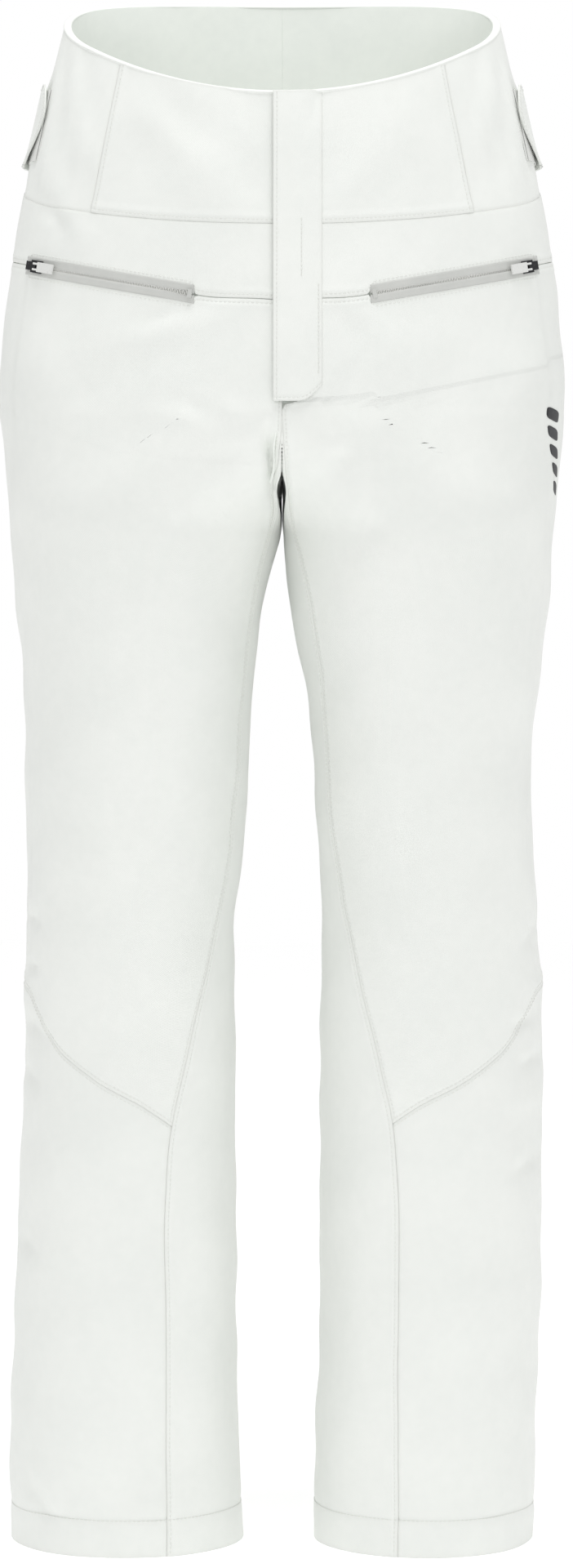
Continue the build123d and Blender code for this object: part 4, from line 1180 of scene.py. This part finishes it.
# ---- Stitches ----
def stitch_mesh(name, lines):
    """Short raised threads end to end along lines: each is a six-sided bar with pinched ends, laid along
    the line on the cloth. lines are pairs of a path and the cloth's outward direction along it."""
    ring = np.linspace(0, 2 * math.pi, 6, endpoint=False)
    spots, ways, outs = [], [], []
    for path, normal in lines:
        steps = np.linalg.norm(np.diff(path, axis=0), axis=1)
        run = np.concatenate([[0], np.cumsum(steps)])
        count = int(run[-1] / STITCH_PITCH)
        if count < 2:
            continue
        middle = (np.arange(count) + 0.5) * STITCH_PITCH
        ends = [
            np.stack([np.interp(middle + part * STITCH_LENGTH, run, path[:, axis]) for axis in range(3)], -1)
            for part in (-0.5, 0.5)
        ]
        spots.append((ends[0] + ends[1]) / 2)
        ways.append(ends[1] - ends[0])
        outs.append(np.stack([np.interp(middle, run, normal[:, axis]) for axis in range(3)], -1))
    spot, way, out = np.concatenate(spots), np.concatenate(ways), np.concatenate(outs)
    length = np.linalg.norm(way, axis=1, keepdims=True)
    way = way / length
    out = out - (out * way).sum(1, keepdims=True) * way
    out /= np.linalg.norm(out, axis=1, keepdims=True)
    across = np.cross(way, out)
    places, sizes, lifts = (-0.5, -0.3, 0.3, 0.5), (0.45, 1.0, 1.0, 0.45), (-0.5, 0.35, 0.35, -0.5)
    rows = [
        spot[:, None] + (place * length * way)[:, None]
        + STITCH_RADIUS * (lift + size * np.sin(ring))[None, :, None] * out[:, None]
        + STITCH_RADIUS * size * np.cos(ring)[None, :, None] * across[:, None]
        for place, size, lift in zip(places, sizes, lifts)
    ]
    points = np.stack(rows, axis=1).reshape(-1, 3)
    one = grid_faces(4, 6, closed=True, flip=True)
    starts = (np.arange(len(spot)) * 24)[:, None, None]
    quads = (one[None] + starts).reshape(-1, 4)
    caps = np.array([[0, 1, 2, 3, 4, 5], [23, 22, 21, 20, 19, 18]])
    hexes = (caps[None] + starts).reshape(-1, 6)
    mesh = bpy.data.meshes.new(name)
    mesh.from_pydata(points.tolist(), [], quads.tolist() + hexes.tolist())
    mesh.polygons.foreach_set("use_smooth", np.full(len(mesh.polygons), True))
    piece = bpy.data.objects.new(name, mesh)
    bpy.context.scene.collection.objects.link(piece)
    piece.data.materials.append(THREAD)
    return piece


def surface_line(side, turn, height, lift=0.0):
    """A line on the draped surface through angles and heights, with its outward directions."""
    spot = body_point(side, turn, height)
    nudge = 0.0005
    over = body_point(side, turn + nudge, height) - spot
    down = body_point(side, turn, height - nudge) - spot
    normal = np.cross(over, down) * (1 if side == "right" else -1)
    normal /= np.linalg.norm(normal, axis=-1, keepdims=True)
    return spot + normal * (drape(spot) + lift)[:, None], normal


for side in SIDES:
    turn = np.linspace(0, 2 * math.pi, 500)
    hem_line = surface_line(side, turn, np.full_like(turn, HEM + HEM_TURN), -0.0001)
    threads = stitch_mesh(f"threads_{side}", STITCHES[side] + [hem_line])
    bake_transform(threads)
    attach(stitch_mesh(f"tab_threads_{side}", tab_stitches[side]), f"{side}_waist_tab")

heights = np.linspace(-0.128, -0.170, 40)
inner_row = surface_line("left", angle_at("left", np.full_like(heights, 0.0130), heights), heights, FLAP_LIFT)
heights = np.linspace(-0.172, -0.236, 60)
outer_row = surface_line("left", angle_at("left", np.full_like(heights, 0.0245), heights), heights, 0.00105)
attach(stitch_mesh("flap_threads", flap_stitches + [inner_row, outer_row]), "fly_flap")


# ---- Plain mark on the left thigh ----
def thigh_mark():
    """Five slanted bars of print, each a rounded patch a hair above the cloth on the outer thigh."""
    across, down = np.meshgrid(np.linspace(-1, 1, 9), np.linspace(-1, 1, 9))
    grids = []
    for number in range(5):
        reach = 1 / np.maximum(1, (np.abs(across) ** 4 + np.abs(down) ** 4) ** 0.25)
        height = -0.257 - 0.0125 * number - reach * down * 0.0040 - reach * across * 0.0016
        turn = math.radians(168) + reach * across * 0.052
        spot = body_point("left", turn, height)
        normal = -outward(spot)
        grid = spot + normal * (drape(spot) + 0.0003)[..., None]
        over, deep = run_lengths(grid)
        grids.append((grid, over, deep))
    points, faces, maps = join_grids(grids, [False] * 5)
    mark = add_mesh("thigh_mark", points, faces, maps)
    thicken(mark, 0.00025)
    mark.data.materials.append(PRINT)
    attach(mark, "hips")


thigh_mark()


# ---- Finishes on the pieces that keep their shape ----
KEPT = {
    "fly_tapes": TAPE, "fly_coil": COIL, "fly_guard": GAITER, "fly_slider": BLACK, "fly_snap_studs": SNAP,
    "fly_snap_sockets": SNAP, "pocket_tapes": TAPE, "pocket_coil": COIL, "pocket_slider": BLACK, "pocket_pull": PULL,
    "pocket_bag": GAITER, "zip_stops": BLACK, "loop_strips": HOOKS, "hook_patch": HOOKS, "hem_facing": GAITER,
    "gaiter_gripper": ELASTIC, "gaiter": GAITER, "boot_hook": SNAP, "waist_tab": GAITER, "fly_flap": GAITER,
}
for name, node in frame["nodes"].items():
    material = next((finish for key, finish in KEPT.items() if name.startswith(key)), None)
    if material is None or node.hide_render:
        continue
    node.data.materials.clear()
    node.data.materials.append(material)
    # The pocket zips' inner stops lie under the tape, so they take its finish
    if name == "zip_stops":
        node.data.materials.append(TAPE)
        centres = np.empty(3 * len(node.data.polygons))
        node.data.polygons.foreach_get("center", centres)
        across = np.abs(centres.reshape(-1, 3)[:, 0])
        node.data.polygons.foreach_set("material_index", ((across > 0.03) & (across < 0.12)).astype(np.int32))


# ---- Floor, light and camera ----
def stage_floor():
    """A wide pale floor under the hems."""
    half = 6.0
    corners = np.array([(-half, -half, HEM), (half, -half, HEM), (half, half, HEM), (-half, half, HEM)])
    floor = add_mesh("floor", corners, np.array([[0, 1, 2, 3]]))
    material, tree, shader, place = finish_named("pale_floor")
    tone = use(tree, TONE, {"Vector": place, "Colour": rgb(250, 250, 250), "Second": rgb(247, 247, 247),
                            "Amount": 0.3, "Size": 0.8})
    tree.links.new(tone["Colour"], shader.inputs["Base Color"])
    shader.inputs["Roughness"].default_value = 0.9
    shader.inputs["Emission Color"].default_value = (1, 1, 1, 1)
    shader.inputs["Emission Strength"].default_value = 0.35
    floor.data.materials.append(material)


def soft_light(name, place, target, size, power):
    """A square area light that faces a point."""
    lamp = bpy.data.lights.new(name, "AREA")
    lamp.size, lamp.energy = size, power
    light = bpy.data.objects.new(name, lamp)
    place, target = np.array(place, float), np.array(target, float)
    way = target - place
    light.location = place
    light.rotation_euler = (
        math.atan2(math.hypot(way[0], way[1]), -way[2]), 0, math.atan2(way[1], way[0]) - math.pi / 2,
    )
    bpy.context.scene.collection.objects.link(light)


stage_floor()
soft_light("key_light", (1.6, -2.6, 0.9), (0, 0, -0.5), 1.8, 7)
soft_light("fill_light", (-1.8, -2.4, 0.2), (0, 0, -0.5), 2.0, 2.4)
soft_light("top_light", (0.0, -0.3, 1.4), (0, 0.04, 0.0), 0.7, 14)
world = bpy.data.worlds.new("studio")
world.use_nodes = True
lit = world.node_tree.nodes["Background"]
lit.inputs[0].default_value = (1, 1, 1, 1)
lit.inputs[1].default_value = 0.67
seen = add(world.node_tree, "ShaderNodeBackground", {0: (1, 1, 1, 1), 1: 1.0})
either = add(world.node_tree, "ShaderNodeMixShader", {
    0: world.node_tree.nodes.new("ShaderNodeLightPath").outputs["Is Camera Ray"],
    1: lit.outputs[0], 2: seen.outputs[0],
})
world.node_tree.links.new(either.outputs[0], world.node_tree.nodes["World Output"].inputs[0])
bpy.context.scene.world = world
bpy.context.scene.view_settings.view_transform = "Standard"

camera_data = bpy.data.cameras.new("camera")
camera_data.lens = 98.5
camera_data.sensor_width = 36
camera_data.shift_y = -0.0876
camera = bpy.data.objects.new("camera", camera_data)
camera.location = (0.003, -3.0, -0.417)
camera.rotation_euler = (math.pi / 2, 0, 0)
bpy.context.scene.collection.objects.link(camera)
bpy.context.scene.camera = camera
